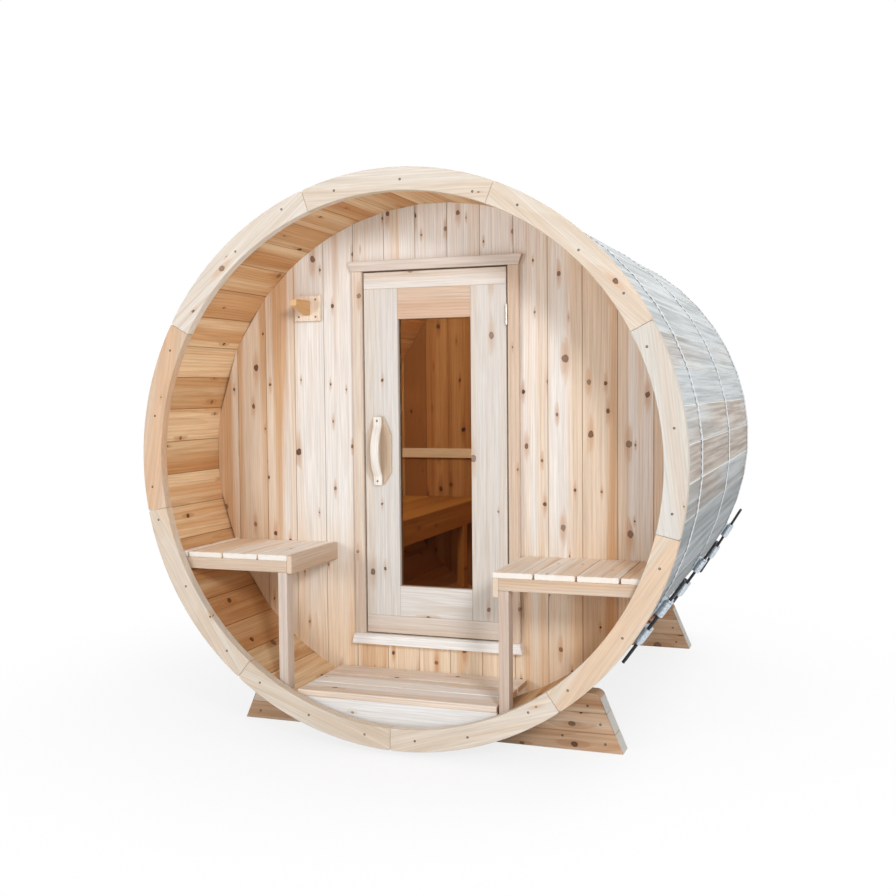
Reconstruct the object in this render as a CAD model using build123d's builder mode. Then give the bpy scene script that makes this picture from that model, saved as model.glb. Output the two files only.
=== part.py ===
from build123d import *
import os
from math import ceil, cos, floor, pi, radians, sin, sqrt, tan

# Barrel sauna: a coopered timber barrel on two cradles, with an open porch, a glazed door and benches.
# Millimetres. X runs to the right seen from the porch, Y from the porch to the back, Z up from the
# ground. Heights inside the barrel are measured from its axis, depths from the trim ring's front face.

# Barrel
barrel_length = 2280
barrel_apothem = 975
stave_count = 48
roof_run_staves = 13
stave_thickness = 40
stave_joint_gap = 0.3
bead_height = 5
bead_chord_share = 0.5
croze_depth = 10
fit_gap = 0.3
seat_gap = 0.3

# Trim ring round the porch mouth
ring_overhang = 15
ring_width = 77
ring_thickness = 38
ring_segments = 9
ring_short_segments = 2
ring_long_arc_angle = 40.9
ring_first_joint_angle = -54.3
ring_joint_gap = 0.8
ring_corner_radius = 8

# End walls
porch_depth = 430
wall_thickness = 38
chime_length = 44

# Steel bands and their tensioners
band_width = 40
band_thickness = 2
middle_band_share = 0.5124
front_tensioner_angle = -35.5
middle_tensioner_angle = -34.5
rear_tensioner_angle = -31.5
lug_angle_step = 7
band_end_angle = 2
lug_length = 60
lug_tube_radius = 15
lug_rod_spacing = 40
lug_web_thickness = 7
rod_radius = 6.5
rod_length = 375
rod_bore_gap = 0.4
rod_stand_off = 2

# Door leaf
leaf_width = 562
leaf_thickness = 38
leaf_recess = 4
stile_width = 137
top_rail_height = 62
bottom_rail_height = 68
inner_rail_height = 115
glass_thickness = 6
glass_edge = 8
glass_gap = 0.3

# Door surround
door_gap = 6
casing_width = 43
casing_thickness = 20
head_height = 38
head_thickness = 26
head_flare = 13
head_clearance = 136.8
sill_height = 38
sill_thickness = 34
sill_flare = 10
sill_slope = 5
sill_rise = 95
stop_width = 14
stop_gap = 5

# Butt hinges
hinge_height = 75
hinge_inset = 135
knuckle_radius = 5
pin_radius = 2.5
pin_gap = 0.3
knuckle_gap = 0.5
hinge_plate = 2
hinge_plate_depth = 28

# Door handle
handle_rise = 12
handle_length = 260
handle_width = 34
handle_foot_length = 36
handle_foot_thickness = 13
handle_finger_gap = 26
grip_thickness = 20
handle_corner_radius = 5
plate_edge_gap = 8
plate_width = 100
plate_thickness = 10
plate_top_width = 42
plate_bottom_width = 36
plate_top_taper = 66
plate_bottom_taper = 48
plate_corner_radius = 9

# Porch benches
left_seat_height = 478
right_seat_height = 455
left_casing_gap = 81
right_casing_gap = 8
bench_front_depth = 46
bench_slat_width = 137
ripped_slat_width = 116
bench_slat_gap = 7
bench_slat_thickness = 20
rail_height = 42
rail_thickness = 36
side_board_thickness = 20
side_board_height = 65
leg_width = 36
leg_depth = 50

# Porch duckboard
duck_floor_height = 117
duck_left_gap = 34
duck_right_gap = 8
duck_front_depth = 46
duck_boards = 3
duck_board_gap = 5
duck_board_thickness = 22
duck_back_gap = 5
batten_width = 45
batten_inset = 110
fascia_thickness = 20
fascia_recess = 2

# Cradles
cradle_floor_height = 37
cradle_height = 206
cradle_shoulder = 95
cradle_end_slope = 88
cradle_thickness = 76
cradle_corner_radius = 28
cradle_front_depth = 270
cradle_rear_inset = 274

# Lantern hook beside the door
hook_casing_gap = 133.5
hook_drop = 125
hook_plate_width = 109
hook_plate_height = 99
hook_plate_thickness = 20
hook_arm_width = 28
hook_arm_length = 115
hook_root_height = 57
hook_tip_height = 26
hook_notch_width = 22
hook_notch_depth = 7

# Bench and back rail inside
inner_seat_height = 605
inner_aisle_half = 400
inner_slat_width = 140
inner_slat_gap = 10
inner_slat_thickness = 28
inner_front_rail_height = 90
inner_rail_thickness = 38
inner_leg_width = 60
inner_leg_inset = 240
bearer_height = 60
room_gap = 2
back_rail_rise = 210
back_rail_height = 50
back_rail_thickness = 20
back_rail_end_gap = 47

# Sizes that follow from the ones above
front_y = -barrel_length / 2
stave_angle = 360 / stave_count
hollow_apothem = barrel_apothem - stave_thickness
barrel_corner_radius = barrel_apothem / cos(pi / stave_count)
axis_height = cradle_floor_height + barrel_apothem
ring_outer_radius = barrel_apothem + ring_overhang
ring_inner_radius = ring_outer_radius - ring_width
wall_radius = hollow_apothem + croze_depth - fit_gap
back_wall_depth = barrel_length - chime_length - wall_thickness
room_front_depth = porch_depth + wall_thickness
front_band_depth = porch_depth + wall_thickness / 2
rear_band_depth = back_wall_depth + wall_thickness / 2
middle_band_depth = front_band_depth + middle_band_share * (rear_band_depth - front_band_depth)
duck_top = duck_floor_height - hollow_apothem
leaf_half = leaf_width / 2
doorway_half = leaf_half + door_gap
casing_outer = doorway_half + casing_width
head_top = sqrt(hollow_apothem**2 - (casing_outer + head_flare) ** 2) - head_clearance
doorway_top = head_top - head_height
doorway_bottom = duck_top + sill_rise + sill_height
leaf_top = doorway_top - door_gap
leaf_bottom = doorway_bottom + door_gap
casing_depth = porch_depth - casing_thickness
leaf_depth = casing_depth + leaf_recess
leaf_back_depth = leaf_depth + leaf_thickness
hinge_x = leaf_half + door_gap / 2
hinge_depth = casing_depth - knuckle_radius - fit_gap
hinge_heights = (leaf_bottom + hinge_inset + hinge_height / 2, leaf_top - hinge_inset - hinge_height / 2)
left_bench_top = duck_top + left_seat_height
right_bench_top = duck_top + right_seat_height
left_bench_x = casing_outer + left_casing_gap
right_bench_x = casing_outer + right_casing_gap
inner_bench_top = inner_seat_height - hollow_apothem
band_apothem = barrel_apothem + band_thickness
rod_axis_radius = barrel_corner_radius + band_thickness + rod_stand_off + lug_tube_radius

os.makedirs("parts", exist_ok=True)


def section(depth):
    """Plane across the barrel, centred on its axis, at a depth behind the ring's front face."""
    return Plane(origin=(0, front_y + depth, axis_height), x_dir=(1, 0, 0), z_dir=(0, -1, 0))


def write(builder, label):
    """Label a finished piece and write it under the same name."""
    builder.part.label = label
    export_step(builder.part, f"parts/{label}.step")


def plank(x_ends, depth_ends, z_ends, mode=Mode.ADD):
    """Add a straight board to the open part, between two places along each axis."""
    centre = (
        (x_ends[0] + x_ends[1]) / 2,
        front_y + (depth_ends[0] + depth_ends[1]) / 2,
        axis_height + (z_ends[0] + z_ends[1]) / 2,
    )
    with Locations(centre):
        Box(abs(x_ends[1] - x_ends[0]), depth_ends[1] - depth_ends[0], z_ends[1] - z_ends[0], mode=mode)


def trim_to_hollow():
    """Cut what reaches past the staves' inner faces off the open part."""
    with BuildSketch(section(0)) as hollow:
        RegularPolygon(hollow_apothem - seat_gap, stave_count, major_radius=False, rotation=stave_angle / 2)
    extrude(hollow.sketch, amount=-barrel_length, mode=Mode.INTERSECT)


def stave_outline():
    """Cross-section of the stave at three o'clock: flat faces, a bead on one edge, a cove on the other."""
    slope = tan(radians(stave_angle / 2))
    bead_start = hollow_apothem + stave_thickness * (1 - bead_chord_share) / 2
    bead_end = bead_start + stave_thickness * bead_chord_share
    bead_middle = (bead_start + bead_end) / 2

    def edge(radius, side):
        return (radius, side * (radius * slope - stave_joint_gap / 2))

    bead_crown = (bead_middle, edge(bead_middle, 1)[1] + bead_height)
    cove_bottom = (bead_middle, edge(bead_middle, -1)[1] + bead_height)
    with BuildSketch() as outline:
        with BuildLine():
            Line(edge(hollow_apothem, -1), edge(hollow_apothem, 1))
            Line(edge(hollow_apothem, 1), edge(bead_start, 1))
            ThreePointArc(edge(bead_start, 1), bead_crown, edge(bead_end, 1))
            Line(edge(bead_end, 1), edge(barrel_apothem, 1))
            Line(edge(barrel_apothem, 1), edge(barrel_apothem, -1))
            Line(edge(barrel_apothem, -1), edge(bead_end, -1))
            ThreePointArc(edge(bead_end, -1), cove_bottom, edge(bead_start, -1))
            Line(edge(bead_start, -1), edge(hollow_apothem, -1))
        make_face()
    return outline.sketch


def build_staves(label, first_angle, count):
    """A run of staves, with the two crozes that hold the end walls cut across them."""
    outline = stave_outline()
    with BuildPart() as staves:
        with BuildSketch(section(ring_thickness)):
            with PolarLocations(0, count, first_angle, stave_angle * (count - 1), endpoint=True):
                add(outline)
        extrude(amount=ring_thickness - barrel_length)
        for wall_depth in (porch_depth, back_wall_depth):
            with BuildSketch(section(wall_depth - fit_gap)):
                RegularPolygon(
                    hollow_apothem + croze_depth, stave_count, major_radius=False, rotation=stave_angle / 2
                )
            extrude(amount=-wall_thickness - 2 * fit_gap, mode=Mode.SUBTRACT)
    write(staves, label)


def build_trim_ring():
    """Sawn arcs, butted end to end, with their outer corners eased; the last ones are cut short to close."""
    long_segments = ring_segments - ring_short_segments
    short_arc_angle = (360 - long_segments * ring_long_arc_angle) / ring_short_segments
    arc_angles = [ring_long_arc_angle] * long_segments + [short_arc_angle] * ring_short_segments
    gap_angle = ring_joint_gap / ring_outer_radius / radians(1)
    start_angle = ring_first_joint_angle + gap_angle / 2
    with BuildPart() as ring:
        for arc_angle in arc_angles:
            with BuildSketch(section(0)) as segment:
                with BuildLine():
                    outer = CenterArc((0, 0), ring_outer_radius, start_angle, arc_angle - gap_angle)
                    inner = CenterArc((0, 0), ring_inner_radius, start_angle, arc_angle - gap_angle)
                    Line(outer @ 0, inner @ 0)
                    Line(outer @ 1, inner @ 1)
                make_face()
                fillet(segment.vertices().sort_by_distance((0, 0))[-2:], ring_corner_radius)
            extrude(amount=-ring_thickness)
            start_angle += arc_angle
    write(ring, "trim_ring")


def build_front_wall():
    """The porch wall in four pieces: beside, over and under the doorway."""
    doorway = {
        "front_wall_left": ((-wall_radius, -doorway_half), (-wall_radius, wall_radius)),
        "front_wall_right": ((doorway_half, wall_radius), (-wall_radius, wall_radius)),
        "front_wall_over_door": ((-doorway_half, doorway_half), (doorway_top, wall_radius)),
        "front_wall_under_door": ((-doorway_half, doorway_half), (-wall_radius, doorway_bottom)),
    }
    for label, (x_ends, z_ends) in doorway.items():
        with BuildPart() as wall:
            plank(x_ends, (porch_depth, room_front_depth), z_ends)
            with BuildSketch(section(porch_depth)):
                Circle(wall_radius)
            extrude(amount=-wall_thickness, mode=Mode.INTERSECT)
        write(wall, label)


def build_back_wall():
    """The plain round wall at the back."""
    with BuildPart() as wall:
        with BuildSketch(section(back_wall_depth)):
            Circle(wall_radius)
        extrude(amount=-wall_thickness)
    write(wall, "back_wall")


def build_band(label, depth, angle):
    """A steel strap bent over the flats of the staves, open between the two tensioner lugs."""
    open_start = angle - lug_angle_step / 2 + band_end_angle
    open_end = angle + lug_angle_step / 2 - band_end_angle
    mouth_radius = 2 * barrel_apothem
    with BuildPart() as band:
        with BuildSketch(section(depth - band_width / 2)):
            RegularPolygon(band_apothem, stave_count, major_radius=False, rotation=stave_angle / 2)
            RegularPolygon(
                barrel_apothem, stave_count, major_radius=False, rotation=stave_angle / 2, mode=Mode.SUBTRACT
            )
            with BuildLine():
                Polyline(
                    (0, 0),
                    (mouth_radius * cos(radians(open_start)), mouth_radius * sin(radians(open_start))),
                    (mouth_radius * cos(radians(open_end)), mouth_radius * sin(radians(open_end))),
                    close=True,
                )
            make_face(mode=Mode.SUBTRACT)
        extrude(amount=-band_width)
    write(band, label)


def tensioner_plane(depth, angle, along):
    """Plane square to a tensioner's rods, at a distance along them, with its y axis out of the barrel."""
    turn = radians(angle)
    outward = Vector(cos(turn), 0, sin(turn))
    run = Vector(-sin(turn), 0, cos(turn))
    origin = Vector(0, front_y + depth, axis_height) + outward * rod_axis_radius + run * along
    return Plane(origin=origin, x_dir=(0, -1, 0), z_dir=run)


def build_band_lugs(places):
    """Twin-tube lugs at the strap ends, seated on the strap, bored for the tension rods."""
    lug_reach = rod_axis_radius * tan(radians(lug_angle_step / 2))
    rod_places = ((-lug_rod_spacing / 2, 0), (lug_rod_spacing / 2, 0))
    with BuildPart() as lugs:
        for depth, angle in places:
            for along in (-lug_reach, lug_reach):
                with BuildSketch(tensioner_plane(depth, angle, along - lug_length / 2)):
                    with Locations(*rod_places):
                        Circle(lug_tube_radius)
                    Rectangle(lug_rod_spacing, lug_web_thickness)
                    with Locations((0, -lug_tube_radius)):
                        Rectangle(band_width, 2 * lug_tube_radius)
                    with Locations(*rod_places):
                        Circle(rod_radius + rod_bore_gap, mode=Mode.SUBTRACT)
                extrude(amount=lug_length)
        for depth, _ in places:
            with BuildSketch(section(depth - lug_rod_spacing)):
                RegularPolygon(band_apothem, stave_count, major_radius=False, rotation=stave_angle / 2)
            extrude(amount=-2 * lug_rod_spacing, mode=Mode.SUBTRACT)
    write(lugs, "band_lugs")


def build_tension_rods(places):
    """Two long rods through each pair of lugs, drawn up to tighten the strap."""
    with BuildPart() as rods:
        for depth, angle in places:
            with BuildSketch(tensioner_plane(depth, angle, -rod_length / 2)):
                with Locations((-lug_rod_spacing / 2, 0), (lug_rod_spacing / 2, 0)):
                    Circle(rod_radius)
            extrude(amount=rod_length)
    write(rods, "tension_rods")


def build_door_surround():
    """Casings, flared head and sill planted on the porch wall, and the stops inside the doorway."""
    with BuildPart() as casings:
        for side in (-1, 1):
            x_ends = sorted((side * doorway_half, side * casing_outer))
            plank(x_ends, (casing_depth, porch_depth), (doorway_bottom, doorway_top))
    write(casings, "door_casings")

    with BuildPart() as head:
        with BuildSketch(section(porch_depth - head_thickness)):
            with BuildLine():
                Polyline(
                    (-casing_outer, doorway_top),
                    (casing_outer, doorway_top),
                    (casing_outer + head_flare, head_top),
                    (-casing_outer - head_flare, head_top),
                    close=True,
                )
            make_face()
        extrude(amount=-head_thickness)
    write(head, "door_head")

    with BuildPart() as sill:
        with BuildSketch(section(porch_depth - sill_thickness)):
            with BuildLine():
                Polyline(
                    (-casing_outer, doorway_bottom),
                    (casing_outer, doorway_bottom),
                    (casing_outer + sill_flare, doorway_bottom - sill_height),
                    (-casing_outer - sill_flare, doorway_bottom - sill_height),
                    close=True,
                )
            make_face()
        extrude(amount=-sill_thickness)
        front_top = sill.edges().filter_by(Axis.X).group_by(Axis.Y)[0].sort_by(Axis.Z)[-1]
        chamfer(front_top, length=sill_slope, length2=sill_thickness - casing_thickness)
    write(sill, "door_sill")

    stop_ends = (leaf_back_depth + stop_gap, room_front_depth)
    with BuildPart() as stops:
        for side in (-1, 1):
            x_ends = sorted((side * (doorway_half - stop_width), side * doorway_half))
            plank(x_ends, stop_ends, (doorway_bottom, doorway_top))
        head_half = doorway_half - stop_width - fit_gap
        plank((-head_half, head_half), stop_ends, (doorway_top - stop_width, doorway_top))
    write(stops, "door_stops")


def build_door_leaf():
    """Framed leaf: full-width outer rails, stiles between them, inner rails between the stiles, one pane."""
    inner_half = leaf_half - stile_width
    stile_ends = (leaf_bottom + bottom_rail_height, leaf_top - top_rail_height)
    pane_ends = (stile_ends[0] + inner_rail_height, stile_ends[1] - inner_rail_height)
    leaf_ends = (leaf_depth, leaf_back_depth)
    pane_middle = (leaf_depth + leaf_back_depth) / 2
    pane_depths = (pane_middle - glass_thickness / 2, pane_middle + glass_thickness / 2)
    groove_depths = (pane_depths[0] - glass_gap, pane_depths[1] + glass_gap)
    groove_half = inner_half + glass_edge + glass_gap
    groove_ends = (pane_ends[0] - glass_edge - glass_gap, pane_ends[1] + glass_edge + glass_gap)

    with BuildPart() as outer_rails:
        plank((-leaf_half, leaf_half), leaf_ends, (stile_ends[1], leaf_top))
        plank((-leaf_half, leaf_half), leaf_ends, (leaf_bottom, stile_ends[0]))
    write(outer_rails, "door_outer_rails")

    with BuildPart() as stiles:
        for side in (-1, 1):
            plank(sorted((side * inner_half, side * leaf_half)), leaf_ends, stile_ends)
        plank((-groove_half, groove_half), groove_depths, groove_ends, mode=Mode.SUBTRACT)
    write(stiles, "door_stiles")

    with BuildPart() as inner_rails:
        plank((-inner_half, inner_half), leaf_ends, (pane_ends[1], stile_ends[1]))
        plank((-inner_half, inner_half), leaf_ends, (stile_ends[0], pane_ends[0]))
        plank((-groove_half, groove_half), groove_depths, groove_ends, mode=Mode.SUBTRACT)
    write(inner_rails, "door_inner_rails")

    with BuildPart() as glass:
        plank(
            (-inner_half - glass_edge, inner_half + glass_edge),
            pane_depths,
            (pane_ends[0] - glass_edge, pane_ends[1] + glass_edge),
        )
    write(glass, "door_glass")


def build_hinges():
    """Two butt hinges: the frame half carries the pin, the door half turns on it between two knuckles."""
    knuckle_height = (hinge_height - 2 * knuckle_gap) / 3
    middle_half = knuckle_height / 2
    plate_front = hinge_depth + knuckle_radius + fit_gap
    plate_back = plate_front + hinge_plate_depth
    frame_plate = (doorway_half - hinge_plate, doorway_half)
    door_plate = (leaf_half, leaf_half + hinge_plate)

    with BuildPart() as frame_half:
        for height in hinge_heights:
            bottom = height - hinge_height / 2
            top = height + hinge_height / 2
            plank(frame_plate, (plate_front, plate_back), (bottom, top))
            for end in (bottom, top - knuckle_height):
                plank(frame_plate, (hinge_depth, plate_front), (end, end + knuckle_height))
                with BuildSketch(Plane.XY.offset(axis_height + end)):
                    with Locations((hinge_x, front_y + hinge_depth)):
                        Circle(knuckle_radius)
                extrude(amount=knuckle_height)
            with BuildSketch(Plane.XY.offset(axis_height + bottom)):
                with Locations((hinge_x, front_y + hinge_depth)):
                    Circle(pin_radius)
            extrude(amount=hinge_height)
    write(frame_half, "hinge_frame_halves")

    with BuildPart() as door_half:
        for height in hinge_heights:
            plate_heights = (height - hinge_height / 2, height + hinge_height / 2)
            plank(door_plate, (plate_front, plate_back), plate_heights)
            plank(door_plate, (hinge_depth, plate_front), (height - middle_half, height + middle_half))
            with BuildSketch(Plane.XY.offset(axis_height + height - middle_half)):
                with Locations((hinge_x, front_y + hinge_depth)):
                    Circle(knuckle_radius)
            extrude(amount=knuckle_height)
            with BuildSketch(Plane.XY.offset(axis_height + height - middle_half)):
                with Locations((hinge_x, front_y + hinge_depth)):
                    Circle(pin_radius + pin_gap)
            extrude(amount=knuckle_height, mode=Mode.SUBTRACT)
    write(door_half, "hinge_door_halves")


def build_handle():
    """A vase-shaped wooden plate on the latch stile, with a bowed grip standing on its two feet."""
    handle_x = plate_edge_gap + plate_width / 2 - leaf_half
    handle_z = (leaf_bottom + leaf_top) / 2 + handle_rise
    half_length = handle_length / 2
    with BuildPart() as plate:
        with BuildSketch(section(leaf_depth)) as outline:
            with BuildLine():
                Polyline(
                    (handle_x - plate_bottom_width / 2, handle_z - half_length),
                    (handle_x + plate_bottom_width / 2, handle_z - half_length),
                    (handle_x + plate_width / 2, handle_z - half_length + plate_bottom_taper),
                    (handle_x + plate_width / 2, handle_z + half_length - plate_top_taper),
                    (handle_x + plate_top_width / 2, handle_z + half_length),
                    (handle_x - plate_top_width / 2, handle_z + half_length),
                    (handle_x - plate_width / 2, handle_z + half_length - plate_top_taper),
                    (handle_x - plate_width / 2, handle_z - half_length + plate_bottom_taper),
                    close=True,
                )
            make_face()
            fillet(outline.vertices(), plate_corner_radius)
        extrude(amount=plate_thickness)
    write(plate, "handle_plate")

    grip_plane = Plane(
        origin=(handle_x - handle_width / 2, front_y + leaf_depth - plate_thickness, axis_height + handle_z),
        x_dir=(0, 0, 1),
        z_dir=(1, 0, 0),
    )
    arch_half = half_length - handle_foot_length
    handle_reach = handle_finger_gap + grip_thickness
    with BuildPart() as grip:
        with BuildSketch(grip_plane):
            with BuildLine():
                Line((-half_length, 0), (-arch_half, 0))
                ThreePointArc((-arch_half, 0), (0, handle_finger_gap), (arch_half, 0))
                Line((arch_half, 0), (half_length, 0))
                Line((half_length, 0), (half_length, handle_foot_thickness))
                Line((half_length, handle_foot_thickness), (arch_half, handle_foot_thickness))
                ThreePointArc(
                    (arch_half, handle_foot_thickness), (0, handle_reach), (-arch_half, handle_foot_thickness)
                )
                Line((-arch_half, handle_foot_thickness), (-half_length, handle_foot_thickness))
                Line((-half_length, handle_foot_thickness), (-half_length, 0))
            make_face()
        extrude(amount=handle_width)
        outer_arch = grip.faces().filter_by(GeomType.CYLINDER).sort_by(Axis.Y)[0]
        fillet(outer_arch.edges().filter_by(GeomType.CIRCLE), handle_corner_radius)
    write(grip, "handle_grip")


def build_porch_bench(name, side, bench_top, inner_x, first_slat_width, slats_over_board):
    """One corner bench: slats from front to back on cross rails, a board along the aisle, one leg."""
    slat_bottom = bench_top - bench_slat_thickness
    rail_bottom = slat_bottom - rail_height
    board_x = inner_x + side_board_thickness
    board_top = slat_bottom if slats_over_board else bench_top
    first_slat_x = inner_x if slats_over_board else board_x
    next_slat_x = first_slat_x + first_slat_width + bench_slat_gap
    slat_pitch = bench_slat_width + bench_slat_gap
    seat_half = sqrt(hollow_apothem**2 - bench_top**2)
    bench_ends = (bench_front_depth, porch_depth)

    def across(first, last):
        return sorted((side * first, side * last))

    with BuildPart() as slats:
        plank(across(first_slat_x, first_slat_x + first_slat_width), bench_ends, (slat_bottom, bench_top))
        for number in range(ceil((seat_half - next_slat_x) / slat_pitch)):
            start = next_slat_x + number * slat_pitch
            plank(across(start, start + bench_slat_width), bench_ends, (slat_bottom, bench_top))
        trim_to_hollow()
    write(slats, f"{name}_slats")

    with BuildPart() as rails:
        for rail_depth in (bench_front_depth, porch_depth - rail_thickness):
            plank(
                across(board_x, barrel_apothem),
                (rail_depth, rail_depth + rail_thickness),
                (rail_bottom, slat_bottom),
            )
        trim_to_hollow()
    write(rails, f"{name}_cross_rails")

    with BuildPart() as board:
        plank(across(inner_x, board_x), bench_ends, (board_top - side_board_height, board_top))
    write(board, f"{name}_side_board")

    with BuildPart() as leg:
        plank(
            across(board_x, board_x + leg_width),
            (bench_front_depth, bench_front_depth + leg_depth),
            (-barrel_apothem, rail_bottom),
        )
        trim_to_hollow()
    write(leg, f"{name}_leg")


def build_duckboard():
    """Loose porch floor: boards across the barrel on two battens and a fascia, all scribed to the staves."""
    duck_back_depth = porch_depth - duck_back_gap
    run = duck_back_depth - duck_front_depth + duck_board_gap
    board_pitch = run / duck_boards
    board_bottom = duck_top - duck_board_thickness
    left_end = duck_left_gap - left_bench_x - side_board_thickness
    right_end = right_bench_x + side_board_thickness - duck_right_gap
    fascia_depth = duck_front_depth + fascia_recess
    batten_depth = fascia_depth + fascia_thickness + fit_gap
    with BuildPart() as boards:
        for number in range(duck_boards):
            start = duck_front_depth + number * board_pitch
            plank(
                (left_end, right_end),
                (start, start + board_pitch - duck_board_gap),
                (board_bottom, duck_top),
            )
    write(boards, "duckboard_boards")

    with BuildPart() as battens:
        for batten_x in (left_end + batten_inset, right_end - batten_inset):
            x_ends = (batten_x - batten_width / 2, batten_x + batten_width / 2)
            plank(x_ends, (batten_depth, duck_back_depth), (-barrel_apothem, board_bottom))
        fascia_ends = (fascia_depth, fascia_depth + fascia_thickness)
        plank((left_end, right_end), fascia_ends, (-barrel_apothem, board_bottom))
        trim_to_hollow()
    write(battens, "duckboard_battens")


def build_cradle(label, depth):
    """A cradle sawn from two thick planks: sloping ends, eased shoulders, a hollow for the barrel."""
    seat_radius = barrel_corner_radius + seat_gap
    shoulder_z = cradle_height - axis_height
    top_half = sqrt(seat_radius**2 - shoulder_z**2) + cradle_shoulder
    bottom_half = top_half + cradle_end_slope
    with BuildPart() as cradle:
        with BuildSketch(section(depth)) as outline:
            with BuildLine():
                Polyline(
                    (-bottom_half, -axis_height),
                    (bottom_half, -axis_height),
                    (top_half, shoulder_z),
                    (-top_half, shoulder_z),
                    close=True,
                )
            make_face()
            fillet(outline.vertices().group_by(Axis.Y)[-1], cradle_corner_radius)
            Circle(seat_radius, mode=Mode.SUBTRACT)
        extrude(amount=-cradle_thickness)
    write(cradle, label)


def build_hook():
    """A lantern hook: a square plate screwed to the wall and a tapered arm notched at its tip."""
    hook_x = -casing_outer - hook_casing_gap - hook_plate_width / 2
    hook_z = leaf_top - hook_drop
    plate_front = porch_depth - hook_plate_thickness
    arm_top = hook_z + hook_root_height / 2
    with BuildPart() as plate:
        plank(
            (hook_x - hook_plate_width / 2, hook_x + hook_plate_width / 2),
            (plate_front, porch_depth),
            (hook_z - hook_plate_height / 2, hook_z + hook_plate_height / 2),
        )
    write(plate, "hook_plate")

    arm_plane = Plane(
        origin=(hook_x - hook_arm_width / 2, front_y + plate_front, axis_height + arm_top),
        x_dir=(0, -1, 0),
        z_dir=(-1, 0, 0),
    )
    notch_start = hook_arm_length - 2 * hook_notch_width
    with BuildPart() as arm:
        with BuildSketch(arm_plane):
            with BuildLine():
                Polyline(
                    (0, 0),
                    (notch_start, 0),
                    (notch_start + hook_notch_depth, -hook_notch_depth),
                    (notch_start + hook_notch_width, -hook_notch_depth),
                    (notch_start + hook_notch_width, 0),
                    (hook_arm_length, 0),
                    (hook_arm_length, -hook_tip_height),
                    (0, -hook_root_height),
                    close=True,
                )
            make_face()
        extrude(amount=-hook_arm_width)
    write(arm, "hook_arm")


def build_inner_bench():
    """The bench along the left side inside: slats, a deep front rail, bearers and legs."""
    slat_bottom = inner_bench_top - inner_slat_thickness
    room_ends = (room_front_depth + room_gap, back_wall_depth - room_gap)
    rail_x = (-inner_aisle_half - inner_rail_thickness, -inner_aisle_half)
    rail_bottom = slat_bottom - inner_front_rail_height
    leg_depths = (room_ends[0] + inner_leg_inset, room_ends[1] - inner_leg_inset - inner_leg_width)
    slat_pitch = inner_slat_width + inner_slat_gap
    seat_width = sqrt(hollow_apothem**2 - slat_bottom**2) - inner_aisle_half
    back_rail_bottom = inner_bench_top + back_rail_rise
    back_rail_half = sqrt(hollow_apothem**2 - back_rail_bottom**2) - back_rail_end_gap

    with BuildPart() as slats:
        for number in range(floor((seat_width + inner_slat_gap) / slat_pitch)):
            edge = -inner_aisle_half - number * slat_pitch
            plank((edge - inner_slat_width, edge), room_ends, (slat_bottom, inner_bench_top))
        trim_to_hollow()
    write(slats, "inner_bench_slats")

    with BuildPart() as rail:
        plank(rail_x, room_ends, (rail_bottom, slat_bottom))
    write(rail, "inner_bench_rail")

    with BuildPart() as bearers:
        for depth in leg_depths:
            plank(
                (-barrel_apothem, rail_x[0]),
                (depth, depth + inner_leg_width),
                (slat_bottom - bearer_height, slat_bottom),
            )
        trim_to_hollow()
    write(bearers, "inner_bench_bearers")

    with BuildPart() as legs:
        for depth in leg_depths:
            plank(rail_x, (depth, depth + inner_leg_width), (-barrel_apothem, rail_bottom))
        trim_to_hollow()
    write(legs, "inner_bench_legs")

    with BuildPart() as back_rail:
        plank(
            (-back_rail_half, back_rail_half),
            (back_wall_depth - back_rail_thickness, back_wall_depth),
            (back_rail_bottom, back_rail_bottom + back_rail_height),
        )
        trim_to_hollow()
    write(back_rail, "back_rail")


# The barrel, its ring and its walls
side_run_staves = stave_count // 2 - roof_run_staves
first_stave = stave_count // 4 - roof_run_staves // 2
for run_label, run_staves in {
    "roof_staves": roof_run_staves,
    "left_staves": side_run_staves,
    "floor_staves": roof_run_staves,
    "right_staves": side_run_staves,
}.items():
    build_staves(run_label, first_stave * stave_angle, run_staves)
    first_stave += run_staves
build_trim_ring()
build_front_wall()
build_back_wall()

# Bands and tensioners
band_places = {
    "band_front": (front_band_depth, front_tensioner_angle),
    "band_middle": (middle_band_depth, middle_tensioner_angle),
    "band_rear": (rear_band_depth, rear_tensioner_angle),
}
for band_label, (band_depth, band_angle) in band_places.items():
    build_band(band_label, band_depth, band_angle)
build_band_lugs(band_places.values())
build_tension_rods(band_places.values())

# Door
build_door_surround()
build_door_leaf()
build_hinges()
build_handle()

# Porch fittings
build_porch_bench("left_bench", -1, left_bench_top, left_bench_x, ripped_slat_width, slats_over_board=False)
build_porch_bench("right_bench", 1, right_bench_top, right_bench_x, bench_slat_width, slats_over_board=True)
build_duckboard()
build_hook()

# Inside, and the cradles underneath
build_inner_bench()
build_cradle("cradle_front", cradle_front_depth)
build_cradle("cradle_rear", barrel_length - cradle_rear_inset - cradle_thickness)
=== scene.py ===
import math

import bpy
import numpy as np
from mathutils import Matrix


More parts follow.
